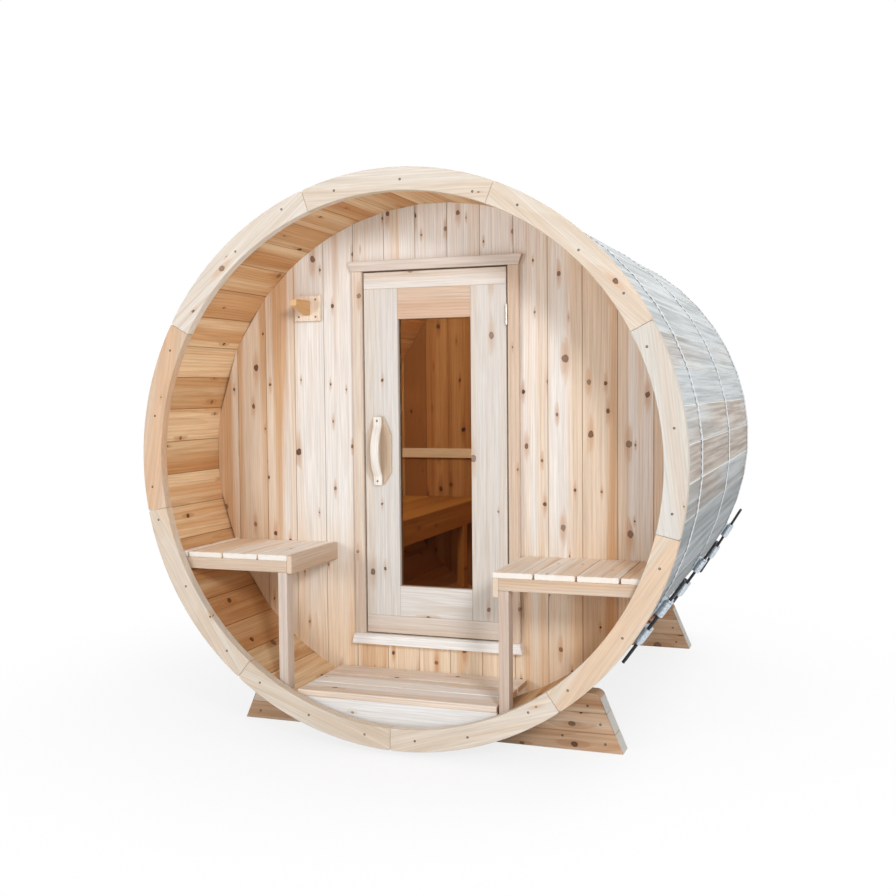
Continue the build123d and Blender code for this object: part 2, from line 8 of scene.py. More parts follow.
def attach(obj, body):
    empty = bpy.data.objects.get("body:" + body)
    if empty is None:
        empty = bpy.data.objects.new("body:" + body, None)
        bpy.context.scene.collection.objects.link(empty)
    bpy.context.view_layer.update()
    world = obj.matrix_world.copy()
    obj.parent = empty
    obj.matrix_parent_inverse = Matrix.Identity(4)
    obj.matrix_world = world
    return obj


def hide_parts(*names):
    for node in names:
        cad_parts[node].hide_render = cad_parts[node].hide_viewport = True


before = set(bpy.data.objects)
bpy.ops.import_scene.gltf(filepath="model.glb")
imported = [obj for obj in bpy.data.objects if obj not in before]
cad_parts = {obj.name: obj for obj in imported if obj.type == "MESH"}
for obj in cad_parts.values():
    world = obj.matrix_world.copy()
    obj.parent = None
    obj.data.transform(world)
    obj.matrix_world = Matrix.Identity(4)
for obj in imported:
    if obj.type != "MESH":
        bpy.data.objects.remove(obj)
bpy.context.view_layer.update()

# Barrel staves. Forty-eight planed cedar boards, bevelled so that every joint points at the barrel's axis,
# stand edge to edge round the end walls and are held by the steel bands alone. Outdoors their backs have
# silvered unevenly; the faces inside the porch and the room keep the warm orange of fresh cedar.
AXIS_Z = 1.012
FRONT_Y = -1.140
STAVE_COUNT = 48
STAVE_INSIDE = 0.935
STAVE_OUTSIDE = 0.975
STAVE_ENDS = (0.038, 2.280)
STAVE_TONES = {0: 1.0, 1: 0.76, 2: 0.45, 3: 0.66, 4: 0.2, 5: 0.5, 45: 0.3, 46: 0.5, 47: 0.72,
               14: 0.55, 15: 0.50, 16: 0.55, 17: 0.50, 18: 0.50, 19: 0.45, 20: 0.35, 21: 0.15, 22: 0.70,
               23: 0.0, 24: 0.60, 25: 0.35, 26: 0.30, 27: 0.60, 28: 0.70, 29: 0.85, 30: 0.80}
X, Y, Z = np.eye(3)
grain_luck = np.random.default_rng(20)


def linear(red, green, blue):
    """A colour as it is seen on screen, 0 to 255, as linear light."""
    seen = np.array([red, green, blue]) / 255
    light = np.where(seen <= 0.04045, seen / 12.92, ((seen + 0.055) / 1.055) ** 2.4)
    return (*light.tolist(), 1.0)


def eased_outline(corners, radius, inset=0.0, steps=3):
    """A polygon with rounded corners: about the point that lies radius inside both edges of a corner, an arc
    of radius less inset turns from one edge's outward normal to the next one's. radius is one for all corners
    or one for each."""
    corners = np.asarray(corners, float)
    radius = np.broadcast_to(radius, len(corners))[:, None]
    following = np.roll(corners, -1, axis=0)
    if np.sum(corners[:, 0] * following[:, 1] - corners[:, 1] * following[:, 0]) < 0:
        corners, radius = corners[::-1], radius[::-1]
    leaving = np.roll(corners, -1, axis=0) - corners
    leaving /= np.linalg.norm(leaving, axis=1, keepdims=True)
    normal = np.stack([leaving[:, 1], -leaving[:, 0]], axis=1)
    arriving = np.roll(normal, 1, axis=0)
    lean = 1 + np.sum(arriving * normal, axis=1, keepdims=True)
    centre = corners - radius * (arriving + normal) / lean
    first = np.arctan2(arriving[:, 1], arriving[:, 0])
    turn = (np.arctan2(normal[:, 1], normal[:, 0]) - first + math.pi) % (2 * math.pi) - math.pi
    angle = first[:, None] + turn[:, None] * np.linspace(0, 1, steps)
    arc = centre[:, None, :] + (radius - inset)[:, None] * np.stack([np.cos(angle), np.sin(angle)], axis=-1)
    return arc.reshape(-1, 2)


def plank(section, start, end, lay, origin=(0, 0, 0), corner=0.003, easing=0.003, middle=(), tone=None,
          grain=None):
    """A board: its section, with rounded arrises, carried along the grain from one end cut to the other.

    Near an end the section steps in by easing * (1 - sin t) while it moves on by easing * (1 - cos t), so the
    end arrises are rounded too. An end is a number, or a function of (across, through) that cuts it to a
    slope or a curve. lay holds the directions of along, across and through, or is a function that bends the
    board; middle lists more sections as shares of the length."""
    turn = np.radians([12, 45, 90])
    rings = [eased_outline(section, corner, easing * (1 - math.sin(t))) for t in turn]
    moves = easing * (1 - np.cos(turn))
    count = len(rings[0])

    def cut(limit, ring):
        return limit(ring[:, 0], ring[:, 1]) if callable(limit) else np.full(count, float(limit))

    first, last = cut(start, rings[-1]), cut(end, rings[-1])
    along = [cut(start, ring) + move for ring, move in zip(rings, moves)]
    along += [first + (last - first) * share for share in middle]
    along += [cut(end, ring) - move for ring, move in zip(rings[::-1], moves[::-1])]
    across_through = rings + [rings[-1]] * len(middle) + rings[::-1]
    local = np.concatenate([np.column_stack(pair) for pair in zip(along, across_through)])
    local = np.concatenate([local, [local[:count].mean(axis=0)], [local[-count:].mean(axis=0)]])

    levels = len(along)
    ring_start = np.arange(levels - 1)[:, None] * count
    step = np.arange(count)
    here, beside = ring_start + step, ring_start + (step + 1) % count
    quads = np.stack([here, beside, beside + count, here + count], axis=-1).reshape(-1, 4)
    near = np.stack([(step + 1) % count, step, np.full(count, levels * count)], axis=-1)
    far = np.stack([step, (step + 1) % count, np.full(count, levels * count + 1)], axis=-1)
    far[:, :2] += (levels - 1) * count
    triangles = np.concatenate([near, far])

    points = lay(local) if callable(lay) else np.asarray(origin, float) + local @ np.asarray(lay, float)
    fan = np.concatenate([quads[:, [0, 1, 2]], quads[:, [0, 2, 3]], triangles])
    a, b, c = (points[fan[:, k]] - points[0] for k in range(3))
    if np.sum(a * np.cross(b, c)) < 0:
        quads, triangles = quads[:, ::-1], triangles[:, ::-1]

    luck = grain_luck.random(3)
    figure = grain(points) if grain else local - [0, *np.mean(section, axis=0)]
    end_cut = np.zeros(len(points))
    end_cut[:count] = end_cut[-count - 2:] = 1
    arris = np.append(np.tile(np.arange(count) % 3 == 1, levels), [False, False])
    return {
        "points": points,
        "faces": quads.tolist() + triangles.tolist(),
        "grain": figure + [20 * luck[1], 0, 0],
        "board": np.tile([luck[0] if tone is None else tone, *luck[1:]], (len(points), 1)),
        "end_cut": end_cut,
        "arris": arris.astype(float),
    }


def hang(name, points, faces, material, slot, body, nodes=(), crease=None):
    """Make a mesh in the shared frame and hang it on its body in place of its CAD nodes. Where a crease is
    given, edges that turn by more than so many degrees stay sharp and the rest are smooth."""
    mesh = bpy.data.meshes.new(name)
    mesh.from_pydata(np.asarray(points).tolist(), [], faces)
    if crease:
        mesh.shade_smooth()
        mesh.set_sharp_from_angle(angle=math.radians(crease))
    mesh.materials.append(material)
    made = bpy.data.objects.new(name, mesh)
    bpy.context.scene.collection.objects.link(made)
    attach(made, body)
    if nodes:
        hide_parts(*nodes)
    return mesh


def piece(name, planks, material, slot, body, *nodes, **masks):
    """Join planks into one mesh and hang it on its body. The planks' grain, board, end cut and arris values
    become attributes, and so do masks worked out from points."""
    points = np.concatenate([each["points"] for each in planks])
    shifts = np.cumsum([0] + [len(each["points"]) for each in planks[:-1]])
    faces = [[corner + shift for corner in face] for each, shift in zip(planks, shifts)
             for face in each["faces"]]
    mesh = hang(name, points, faces, material, slot, body, nodes, crease=15)
    for key, kind, field in (("grain", "FLOAT_VECTOR", "vector"), ("board", "FLOAT_VECTOR", "vector"),
                             ("end_cut", "FLOAT", "value"), ("arris", "FLOAT", "value")):
        values = np.concatenate([each[key] for each in planks]).astype(np.float32)
        mesh.attributes.new(key, kind, "POINT").data.foreach_set(field, values.ravel())
    for key, mask in masks.items():
        values = mask(points).astype(np.float32)
        mesh.attributes.new(key, "FLOAT", "POINT").data.foreach_set("value", values)


def shader_node(tree, kind, inputs, **settings):
    """One shader node: settings go to its properties, inputs to its sockets as links or as plain values."""
    made = tree.nodes.new(kind)
    for key, value in settings.items():
        setattr(made, key, value)
    for key, value in inputs.items():
        if isinstance(value, bpy.types.NodeSocket):
            tree.links.new(value, made.inputs[key])
        else:
            made.inputs[key].default_value = value
    return made


def calc(tree, operation, *values):
    """One step of arithmetic between sockets and numbers."""
    return shader_node(tree, "ShaderNodeMath", dict(enumerate(values)), operation=operation).outputs[0]


def soft_step(tree, value, low, high, start=0.0, stop=1.0):
    """Runs smoothly from start to stop while value runs from low to high."""
    inputs = {"Value": value, "From Min": low, "From Max": high, "To Min": start, "To Max": stop}
    return shader_node(tree, "ShaderNodeMapRange", inputs, interpolation_type="SMOOTHSTEP").outputs[0]


def mixed(tree, share, under, over, blend="MIX"):
    """Colour over laid on colour under by a share."""
    inputs = {0: share, 6: under, 7: over}
    return shader_node(tree, "ShaderNodeMix", inputs, data_type="RGBA", blend_type=blend).outputs[2]


def streaks(tree, vector, stretch, detail=2.0, roughness=0.5):
    """Noise stretched differently along, across and through the grain; stretch is in waves per metre."""
    scaled = shader_node(tree, "ShaderNodeVectorMath", {0: vector, 1: stretch},
                         operation="MULTIPLY").outputs[0]
    inputs = {"Vector": scaled, "Scale": 1.0, "Detail": detail, "Roughness": roughness}
    return shader_node(tree, "ShaderNodeTexNoise", inputs).outputs[0]


def effect(name, inputs, outputs):
    """An empty shader group with named sockets, its input sockets and its output sockets."""
    tree = bpy.data.node_groups.new(name, "ShaderNodeTree")
    for way, sockets in (("INPUT", inputs), ("OUTPUT", outputs)):
        for label, kind in sockets.items():
            tree.interface.new_socket(name=label, in_out=way, socket_type="NodeSocket" + kind)
    return tree, tree.nodes.new("NodeGroupInput").outputs, tree.nodes.new("NodeGroupOutput").inputs


# Cedar figure: growth rings round a pith that lies below the board, broad bands of sapwood and heartwood,
# fine fibre, and knots that run through the board with the rings flowing round them.
figure_group, figure_in, figure_out = effect(
    "cedar figure",
    {"Grain": "Vector", "Board": "Vector", "Pale": "Color", "Middle": "Color", "Heart": "Color",
     "Knot Colour": "Color", "Band Balance": "Float", "Heart Share": "Float", "Knots": "Float",
     "Knot Radius": "Float", "Ring Depth": "Float", "Tone Spread": "Float"},
    {"Colour": "Color", "Height": "Float", "Knot": "Float", "Fibre": "Float"},
)
t = figure_group
apart = shader_node(t, "ShaderNodeSeparateXYZ", {0: figure_in["Grain"]}).outputs
luck = shader_node(t, "ShaderNodeSeparateXYZ", {0: figure_in["Board"]}).outputs
across = shader_node(t, "ShaderNodeCombineXYZ", {
    0: apart[0],
    1: calc(t, "MULTIPLY_ADD", luck[1], 3.0, apart[1]),
    2: calc(t, "MULTIPLY_ADD", luck[2], 2.0, apart[2]),
}).outputs[0]
wander = calc(t, "SUBTRACT", streaks(t, across, (0.9, 5.0, 5.0), 1.0), 0.5)
knot_long, knot_wide = 0.24, 0.075
cell = shader_node(t, "ShaderNodeCombineXYZ", {
    0: calc(t, "DIVIDE", apart[0], knot_long),
    1: calc(t, "MULTIPLY_ADD", luck[2], 40.0, calc(t, "DIVIDE", apart[1], knot_wide)),
}).outputs[0]
scatter = shader_node(t, "ShaderNodeTexVoronoi", {"Vector": cell, "Scale": 1.0, "Randomness": 0.9},
                      voronoi_dimensions="2D")
chance = shader_node(t, "ShaderNodeSeparateColor", {0: scatter.outputs["Color"]}).outputs
offset = shader_node(t, "ShaderNodeVectorMath", {0: cell, 1: scatter.outputs["Position"]},
                     operation="SUBTRACT")
offset = shader_node(t, "ShaderNodeSeparateXYZ", {0: offset.outputs[0]}).outputs
knot_s = calc(t, "MULTIPLY", offset[0], knot_long)
knot_a = calc(t, "MULTIPLY", offset[1], knot_wide)
knot_a2 = calc(t, "MULTIPLY", knot_a, knot_a)
uneven = calc(t, "MULTIPLY_ADD", streaks(t, across, (45.0, 70.0, 70.0), 2.0), 0.012, -0.006)
near_s = calc(t, "MULTIPLY", knot_s, 0.8)
reach = calc(t, "ADD", calc(t, "SQRT", calc(t, "MULTIPLY_ADD", near_s, near_s, knot_a2)), uneven)
far_s = calc(t, "MULTIPLY", knot_s, 0.22)
flow = calc(t, "SQRT", calc(t, "MULTIPLY_ADD", far_s, far_s, knot_a2))
present = calc(t, "LESS_THAN", chance[0], figure_in["Knots"])
size = calc(t, "MULTIPLY", figure_in["Knot Radius"],
            calc(t, "MULTIPLY_ADD", calc(t, "POWER", chance[1], 2.0), 1.0, 0.35))
knot = calc(t, "MULTIPLY", present, soft_step(t, reach, size, calc(t, "MULTIPLY", size, 0.75)))
heart_of_knot = soft_step(t, reach, calc(t, "MULTIPLY", size, 0.85), calc(t, "MULTIPLY", size, 0.25))
halo = calc(t, "MULTIPLY", present, soft_step(t, flow, calc(t, "MULTIPLY", size, 1.9),
                                              calc(t, "MULTIPLY", size, 0.4)))
pith_a = calc(t, "MULTIPLY_ADD", luck[1], 0.16, -0.08)
pith_b = calc(t, "MULTIPLY_ADD", luck[2], 0.10, 0.03)
from_a = calc(t, "SUBTRACT", apart[1], pith_a)
from_b = calc(t, "ADD", apart[2], pith_b)
age = calc(t, "SQRT", calc(t, "MULTIPLY_ADD", from_a, from_a, calc(t, "MULTIPLY", from_b, from_b)))
age = calc(t, "MULTIPLY_ADD", wander, 0.045, calc(t, "MULTIPLY_ADD", halo, -0.010, age))
ring = calc(t, "FRACT", calc(t, "DIVIDE", age, 0.0085))
late = calc(t, "MULTIPLY", soft_step(t, ring, 0.35, 0.9), soft_step(t, ring, 1.0, 0.93))
band = streaks(t, across, (0.30, 15.0, 9.0), 2.0)
lean = calc(t, "ADD", figure_in["Band Balance"], calc(t, "MULTIPLY_ADD", luck[0], 0.30, -0.15))
to_middle = soft_step(t, calc(t, "ADD", band, lean), 0.40, 0.58)
core = streaks(t, across, (0.22, 11.0, 7.0), 1.0)
to_heart = calc(t, "MULTIPLY", soft_step(t, calc(t, "ADD", core, lean), 0.56, 0.68), figure_in["Heart Share"])
fibre = streaks(t, across, (5.0, 190.0, 190.0), 3.0, 0.65)
colour = mixed(t, to_middle, figure_in["Pale"], figure_in["Middle"])
colour = mixed(t, to_heart, colour, figure_in["Heart"])
tone = calc(t, "MULTIPLY_ADD", calc(t, "SUBTRACT", luck[0], 0.5), figure_in["Tone Spread"], 0.5)
colour = mixed(t, tone, mixed(t, 1.0, colour, (1.10, 1.11, 1.13, 1.0), "MULTIPLY"),
               mixed(t, 1.0, colour, (0.90, 0.87, 0.83, 1.0), "MULTIPLY"))
ring_shade = mixed(t, 1.0, colour, (0.80, 0.66, 0.52, 1.0), "MULTIPLY")
colour = mixed(t, calc(t, "MULTIPLY", late, figure_in["Ring Depth"]), colour, ring_shade)
lines = streaks(t, across, (0.5, 75.0, 50.0), 2.0)
lines = calc(t, "MULTIPLY", soft_step(t, lines, 0.50, 0.66), figure_in["Ring Depth"])
colour = mixed(t, lines, colour, mixed(t, 1.0, colour, (0.80, 0.70, 0.62, 1.0), "MULTIPLY"))
grey = shader_node(t, "ShaderNodeCombineXYZ",
                   {k: soft_step(t, fibre, 0.2, 0.8, 0.86, 1.10) for k in range(3)}).outputs[0]
colour = mixed(t, 1.0, colour, grey, "MULTIPLY")
colour = mixed(t, calc(t, "MULTIPLY", halo, 0.55), colour,
               mixed(t, 1.0, figure_in["Heart"], (0.86, 0.74, 0.64, 1.0), "MULTIPLY"))
knot_shade = mixed(t, heart_of_knot,
                   mixed(t, 1.0, figure_in["Knot Colour"], (0.42, 0.36, 0.33, 1.0), "MULTIPLY"),
                   figure_in["Knot Colour"])
colour = mixed(t, calc(t, "MULTIPLY", knot, calc(t, "MULTIPLY_ADD", chance[2], 0.4, 0.6)), colour, knot_shade)
t.links.new(colour, figure_out["Colour"])
t.links.new(calc(t, "MULTIPLY_ADD", fibre, 0.6,
                 calc(t, "MULTIPLY_ADD", late, -0.25, calc(t, "MULTIPLY", knot, 0.3))), figure_out["Height"])
t.links.new(knot, figure_out["Knot"])
t.links.new(fibre, figure_out["Fibre"])

# Silvering: sun and rain turn cedar grey in streaks along the grain, one board paler than the next, open
# fine cracks, and leave brown patches where boards stayed dry longest.
silver_group, silver_in, silver_out = effect(
    "silvering", {"Grain": "Vector", "Board": "Vector", "Fresh": "Color", "Amount": "Float"},
    {"Colour": "Color"}
)
t = silver_group
luck = shader_node(t, "ShaderNodeSeparateXYZ", {0: silver_in["Board"]}).outputs
moved = shader_node(t, "ShaderNodeCombineXYZ", {1: calc(t, "MULTIPLY", luck[2], 9.0), 2: luck[1]}).outputs[0]
moved = shader_node(t, "ShaderNodeVectorMath", {0: silver_in["Grain"], 1: moved}, operation="ADD").outputs[0]
patch = streaks(t, moved, (0.9, 5.0, 5.0), 3.0, 0.55)
streak = streaks(t, moved, (1.1, 48.0, 30.0), 4.0, 0.6)
silver = mixed(t, soft_step(t, streak, 0.32, 0.66), linear(172, 176, 176), linear(208, 212, 213))
brown = mixed(t, soft_step(t, streak, 0.35, 0.65), linear(158, 138, 121), linear(200, 186, 172))
dry = soft_step(t, calc(t, "MULTIPLY_ADD", luck[0], 0.7, calc(t, "MULTIPLY", patch, 0.6)), 0.66, 1.0)
colour = mixed(t, calc(t, "MULTIPLY", dry, 0.8), silver, brown)
cracks = soft_step(t, streaks(t, moved, (1.6, 150.0, 90.0), 3.0, 0.6), 0.56, 0.68, 0.0, 0.5)
colour = mixed(t, cracks, colour, mixed(t, 1.0, colour, (0.62, 0.60, 0.58, 1.0), "MULTIPLY"))
board_shade = calc(t, "MULTIPLY_ADD", luck[1], 0.20, 0.93)
board_shade = shader_node(t, "ShaderNodeCombineXYZ", {k: board_shade for k in range(3)}).outputs[0]
colour = mixed(t, 1.0, colour, board_shade, "MULTIPLY")
colour = mixed(t, silver_in["Amount"], silver_in["Fresh"], colour)
t.links.new(colour, silver_out["Colour"])


def surface(tree, key):
    """A mesh attribute: a vector where planks carry one, otherwise a mask from 0 to 1."""
    read = shader_node(tree, "ShaderNodeAttribute", {}, attribute_name=key)
    return read.outputs["Vector" if key in ("grain", "board") else "Fac"]


def cedar(name, pale, middle, heart, knot=(122, 86, 62), balance=0.0, heart_share=0.6, knots=0.35,
          knot_radius=0.011, ring_depth=0.35, tone=0.5, roughness=0.62, end=None, edge=1.06):
    """A board material: the cedar figure in this piece's colours, darker end grain, and arrises that are
    paler, as wear where hands rub them and as painted highlight, or darker where they line a groove, as dirt
    and painted shade."""
    made = bpy.data.materials.new(name)
    made.use_nodes = True
    tree = made.node_tree
    shader = tree.nodes["Principled BSDF"]
    grain, board = surface(tree, "grain"), surface(tree, "board")
    figure = shader_node(tree, "ShaderNodeGroup", {}, node_tree=figure_group)
    tree.links.new(grain, figure.inputs["Grain"])
    tree.links.new(board, figure.inputs["Board"])
    values = {"Pale": linear(*pale), "Middle": linear(*middle), "Heart": linear(*heart),
              "Knot Colour": linear(*knot),
              "Band Balance": balance, "Heart Share": heart_share, "Knots": knots, "Knot Radius": knot_radius,
              "Ring Depth": ring_depth, "Tone Spread": tone}
    for key, value in values.items():
        figure.inputs[key].default_value = value
    end_colour = linear(*end) if end else (0.80, 0.72, 0.64, 1.0)
    end_shade = mixed(tree, 1.0, figure.outputs["Colour"], end_colour, "MULTIPLY")
    if end:
        end_shade = mixed(tree, 0.85, figure.outputs["Colour"], end_colour)
    colour = mixed(tree, surface(tree, "end_cut"), figure.outputs["Colour"], end_shade)
    # Arrises: paler as wear and painted highlight, or darker as dirt and painted shade along the grooves.
    arris_wear_and_shade = mixed(tree, 1.0, colour, (edge, edge**1.25, edge**1.5, 1.0), "MULTIPLY")
    colour = mixed(tree, calc(tree, "MULTIPLY", surface(tree, "arris"), 0.9), colour, arris_wear_and_shade)
    tree.links.new(colour, shader.inputs["Base Color"])
    rough = soft_step(tree, figure.outputs["Fibre"], 0.25, 0.75, roughness - 0.06, roughness + 0.08)
    tree.links.new(rough, shader.inputs["Roughness"])
    bump = shader_node(tree, "ShaderNodeBump", {"Strength": 0.35, "Distance": 0.0012,
                                                "Height": figure.outputs["Height"]})
    tree.links.new(bump.outputs[0], shader.inputs["Normal"])
    shader.inputs["Specular IOR Level"].default_value = 0.32
    return made


def silvered(material):
    """Lay the silvering over the outer faces of a board material, with pale rubbed joints between the boards
    and painted shade that darkens the outer faces low on the barrel."""
    tree = material.node_tree
    shader = tree.nodes["Principled BSDF"]
    fresh = shader.inputs["Base Color"].links[0].from_socket
    outside = surface(tree, "outside")
    weather = shader_node(tree, "ShaderNodeGroup", {}, node_tree=silver_group)
    for key, value in {"Grain": surface(tree, "grain"), "Board": surface(tree, "board"), "Fresh": fresh,
                       "Amount": soft_step(tree, outside, 0.25, 0.8)}.items():
        tree.links.new(value, weather.inputs[key])
    joint = calc(tree, "MULTIPLY", soft_step(tree, surface(tree, "arris"), 0.0, 0.7),
                 soft_step(tree, outside, 0.8, 0.93))
    colour = mixed(tree, calc(tree, "MULTIPLY", joint, 0.9), weather.outputs["Colour"], linear(240, 240, 236))
    # Painted shade: the outer faces darken low on the barrel, where the lower staves turn away from the
    # light.
    place = shader_node(tree, "ShaderNodeTexCoord", {}).outputs["Object"]
    height = shader_node(tree, "ShaderNodeSeparateXYZ", {0: place}).outputs[2]
    low_painted_shade = calc(tree, "MULTIPLY", soft_step(tree, height, 0.96, 0.72), outside)
    colour = mixed(tree, low_painted_shade, colour, mixed(tree, 1.0, colour, (0.66, 0.67, 0.68, 1.0), "MULTIPLY"))
    tree.links.new(colour, shader.inputs["Base Color"])
    shader.inputs["Specular IOR Level"].default_value = 0.12
    return material


stave_wood = silvered(cedar("stave cedar", (233, 202, 162), (219, 174, 127), (202, 147, 96),
                            knot=(108, 64, 40),
                            heart_share=0.75, knots=0.42, ring_depth=0.42, tone=1.7, edge=0.5))


def stave(number):
    """One stave: a trapezoid between two radial joints, its faces square to its own radius."""
    angle = math.radians(number * 360 / STAVE_COUNT)
    outward = math.cos(angle) * X + math.sin(angle) * Z
    sideways = -math.sin(angle) * X + math.cos(angle) * Z
    slope = math.tan(math.pi / STAVE_COUNT)
    settled, tone = -0.0006 * grain_luck.random(), 0.2 + 0.6 * grain_luck.random()
    inside, outside = STAVE_INSIDE, STAVE_OUTSIDE + settled
    corners = [(-inside * slope, inside), (inside * slope, inside), (outside * slope, outside),
               (-outside * slope, outside)]
    ends = FRONT_Y + np.array(STAVE_ENDS)
    return plank(corners, *ends, (Y, sideways, outward), (0, 0, AXIS_Z), easing=0.0012,
                 corner=(0.0024, 0.0024, 0.0042, 0.0042), tone=STAVE_TONES.get(number % STAVE_COUNT, tone))


def barrel_radius(points):
    return np.hypot(points[:, 0], points[:, 2] - AXIS_Z)


for label, first, count in (("roof", 6, 13), ("left", 19, 11), ("floor", 30, 13), ("right", 43, 11)):
    piece(f"{label}_stave_boards", [stave(number) for number in range(first, first + count)], stave_wood,
          "stave_wood", "shell", f"{label}_staves",
          outside=lambda points: np.clip((barrel_radius(points) - STAVE_INSIDE) / 0.04, 0, 1))

# Trim ring. Nine arcs bandsawn from wide pale planks are butted end to end round the porch mouth and screwed
# into the stave ends. The grain runs straight along each plank, so it leaves the sawn edges at a slant, and
# the outer corners at the joints are eased with a rasp.
RING_INSIDE = 0.913
RING_OUTSIDE = 0.990
RING_DEPTH = 0.038
RING_ARCS = [40.9] * 7 + [36.85] * 2
RING_FIRST_JOINT = -54.3
RING_CORNER = 0.008
ring_wood = cedar("ring cedar", (224, 213, 199), (220, 204, 185), (226, 192, 158), knot=(126, 92, 70),
                  knots=0.34,
                  knot_radius=0.008, heart_share=0.5, ring_depth=0.20, tone=1.0, end=(224, 204, 178),
                  edge=0.97)
pale_ring_wood = cedar("pale ring cedar", (212, 208, 200), (209, 202, 191), (208, 190, 172),
                       knot=(138, 100, 80),
                       knots=0.5, knot_radius=0.008, heart_share=0.5, ring_depth=0.16, end=(214, 202, 186),
                       edge=0.97)
ruddy_ring_wood = cedar("ruddy ring cedar", (224, 203, 182), (220, 194, 169), (224, 183, 146),
                        knot=(128, 84, 60),
                        knots=0.5, knot_radius=0.009, heart_share=0.6, ring_depth=0.22, end=(224, 200, 172),
                        edge=0.97)


def ring_arc(joint, angle, tone):
    """One arc: a rectangle of width and depth carried round the barrel's axis. Near both ends the outer edge
    drops by r - sqrt(r^2 - (r - x)^2) at x from the joint, which rounds the corner to radius r."""
    middle_radius = (RING_INSIDE + RING_OUTSIDE) / 2
    first = math.radians(joint)
    length = middle_radius * math.radians(angle)
    half_gap = 0.0004

    def bend(local):
        along, radius, depth = local.T
        from_end = np.clip(np.minimum(along, length - along), 0, RING_CORNER)
        drop = RING_CORNER - np.sqrt(RING_CORNER**2 - (RING_CORNER - from_end) ** 2)
        radius = np.where(radius > middle_radius, radius - drop, radius)
        angle = first + along / middle_radius
        return np.stack([radius * np.cos(angle), FRONT_Y + depth, AXIS_Z + radius * np.sin(angle)], axis=1)

    def straight_grain(points):
        mid = first + length / middle_radius / 2
        flat = points - [middle_radius * math.cos(mid), 0, AXIS_Z + middle_radius * math.sin(mid)]
        tangent = -math.sin(mid) * X + math.cos(mid) * Z
        return np.stack([flat @ tangent, flat @ (math.cos(mid) * X + math.sin(mid) * Z), points[:, 1]],
                        axis=1)

    shares = np.unique(np.concatenate([np.linspace(0.004, 0.02, 5), np.linspace(0.02, 0.98, 41),
                                       np.linspace(0.98, 0.996, 5)]))
    corners = [(RING_INSIDE, 0), (RING_OUTSIDE, 0), (RING_OUTSIDE, RING_DEPTH), (RING_INSIDE, RING_DEPTH)]
    return plank(corners, half_gap, length - half_gap, bend, corner=0.0025, easing=0.0025, middle=shares,
                 tone=tone, grain=straight_grain)


ring_joints = RING_FIRST_JOINT + np.cumsum([0] + RING_ARCS[:-1])
ring_tones = (0.65, 0.35, 0.50, 0.50, 0.35, 0.80, 0.60, 0.62, 0.45)
arcs = [ring_arc(*arc) for arc in zip(ring_joints, RING_ARCS, ring_tones)]
piece("trim_ring_arcs", [arcs[k] for k in (0, 2, 3, 4, 6, 7, 8)], ring_wood, "ring_wood", "shell",
      "trim_ring")
piece("trim_ring_pale_arc", [arcs[1]], pale_ring_wood, "ring_wood", "shell")
piece("trim_ring_ruddy_arc", [arcs[5]], ruddy_ring_wood, "ring_wood", "shell")

# Screws. Dark countersunk wood screws, driven flush, hold the ring, the hook, the handle and the cradles.
screw_steel = bpy.data.materials.new("dark screw steel")
screw_steel.use_nodes = True
t = screw_steel.node_tree
place = shader_node(t, "ShaderNodeTexCoord", {}).outputs["Object"]
worn = streaks(t, place, (900.0, 900.0, 900.0), 2.0)
t.links.new(mixed(t, worn, linear(46, 40, 36), linear(92, 82, 74)),
            t.nodes["Principled BSDF"].inputs["Base Color"])
t.links.new(soft_step(t, worn, 0.3, 0.7, 0.35, 0.6), t.nodes["Principled BSDF"].inputs["Roughness"])
t.nodes["Principled BSDF"].inputs["Metallic"].default_value = 0.6


def screw_heads(name, places, slot, body, radius=0.0042):
    """Screw heads facing the porch: a profile from the drive hole's floor over the dished rim to below the
    wood, as (share of radius, height), turned about each screw's own axis."""
    profile = np.array([(0, -0.0014), (0.30, -0.0014), (0.34, 0.0002), (0.86, 0.0005), (1.0, 0.0002),
                        (0.9, -0.0012)])
    around = np.linspace(0, 2 * math.pi, 12, endpoint=False)
    reach = radius * profile[1:, 0]
    rim = np.stack([reach[:, None] * np.cos(around), np.repeat(-profile[1:, 1:], 12, axis=1),
                    reach[:, None] * np.sin(around)], axis=-1).reshape(-1, 3)
    head = np.concatenate([[[0, -profile[0, 1], 0]], rim])
    levels, step = np.arange(4)[:, None] * 12 + 1, np.arange(12)
    here, beside = levels + step, levels + (step + 1) % 12
    quads = np.stack([here, here + 12, beside + 12, beside], axis=-1).reshape(-1, 4)
    fans = np.stack([np.zeros(12, int), step + 1, (step + 1) % 12 + 1], axis=-1)
    points = (np.asarray(places)[:, None, :] + head).reshape(-1, 3)
    faces = [[corner + k * len(head) for corner in face] for k in range(len(places))
             for face in quads.tolist() + fans.tolist()]
    hang(name, points, faces, screw_steel, slot, body)


screw_share = np.array([0.13, 0.48, 0.86]) + 0.03 * grain_luck.standard_normal((len(RING_ARCS), 3))
screw_angle = np.radians(ring_joints[:, None] + np.array(RING_ARCS)[:, None] * screw_share)
screw_radius = 0.952 + 0.006 * grain_luck.standard_normal((len(RING_ARCS), 3))
screw_heads("ring_screws", np.stack([screw_radius * np.cos(screw_angle), np.full_like(screw_angle, FRONT_Y),
                                     AXIS_Z + screw_radius * np.sin(screw_angle)], axis=-1).reshape(-1, 3),
            "ring_wood", "shell")

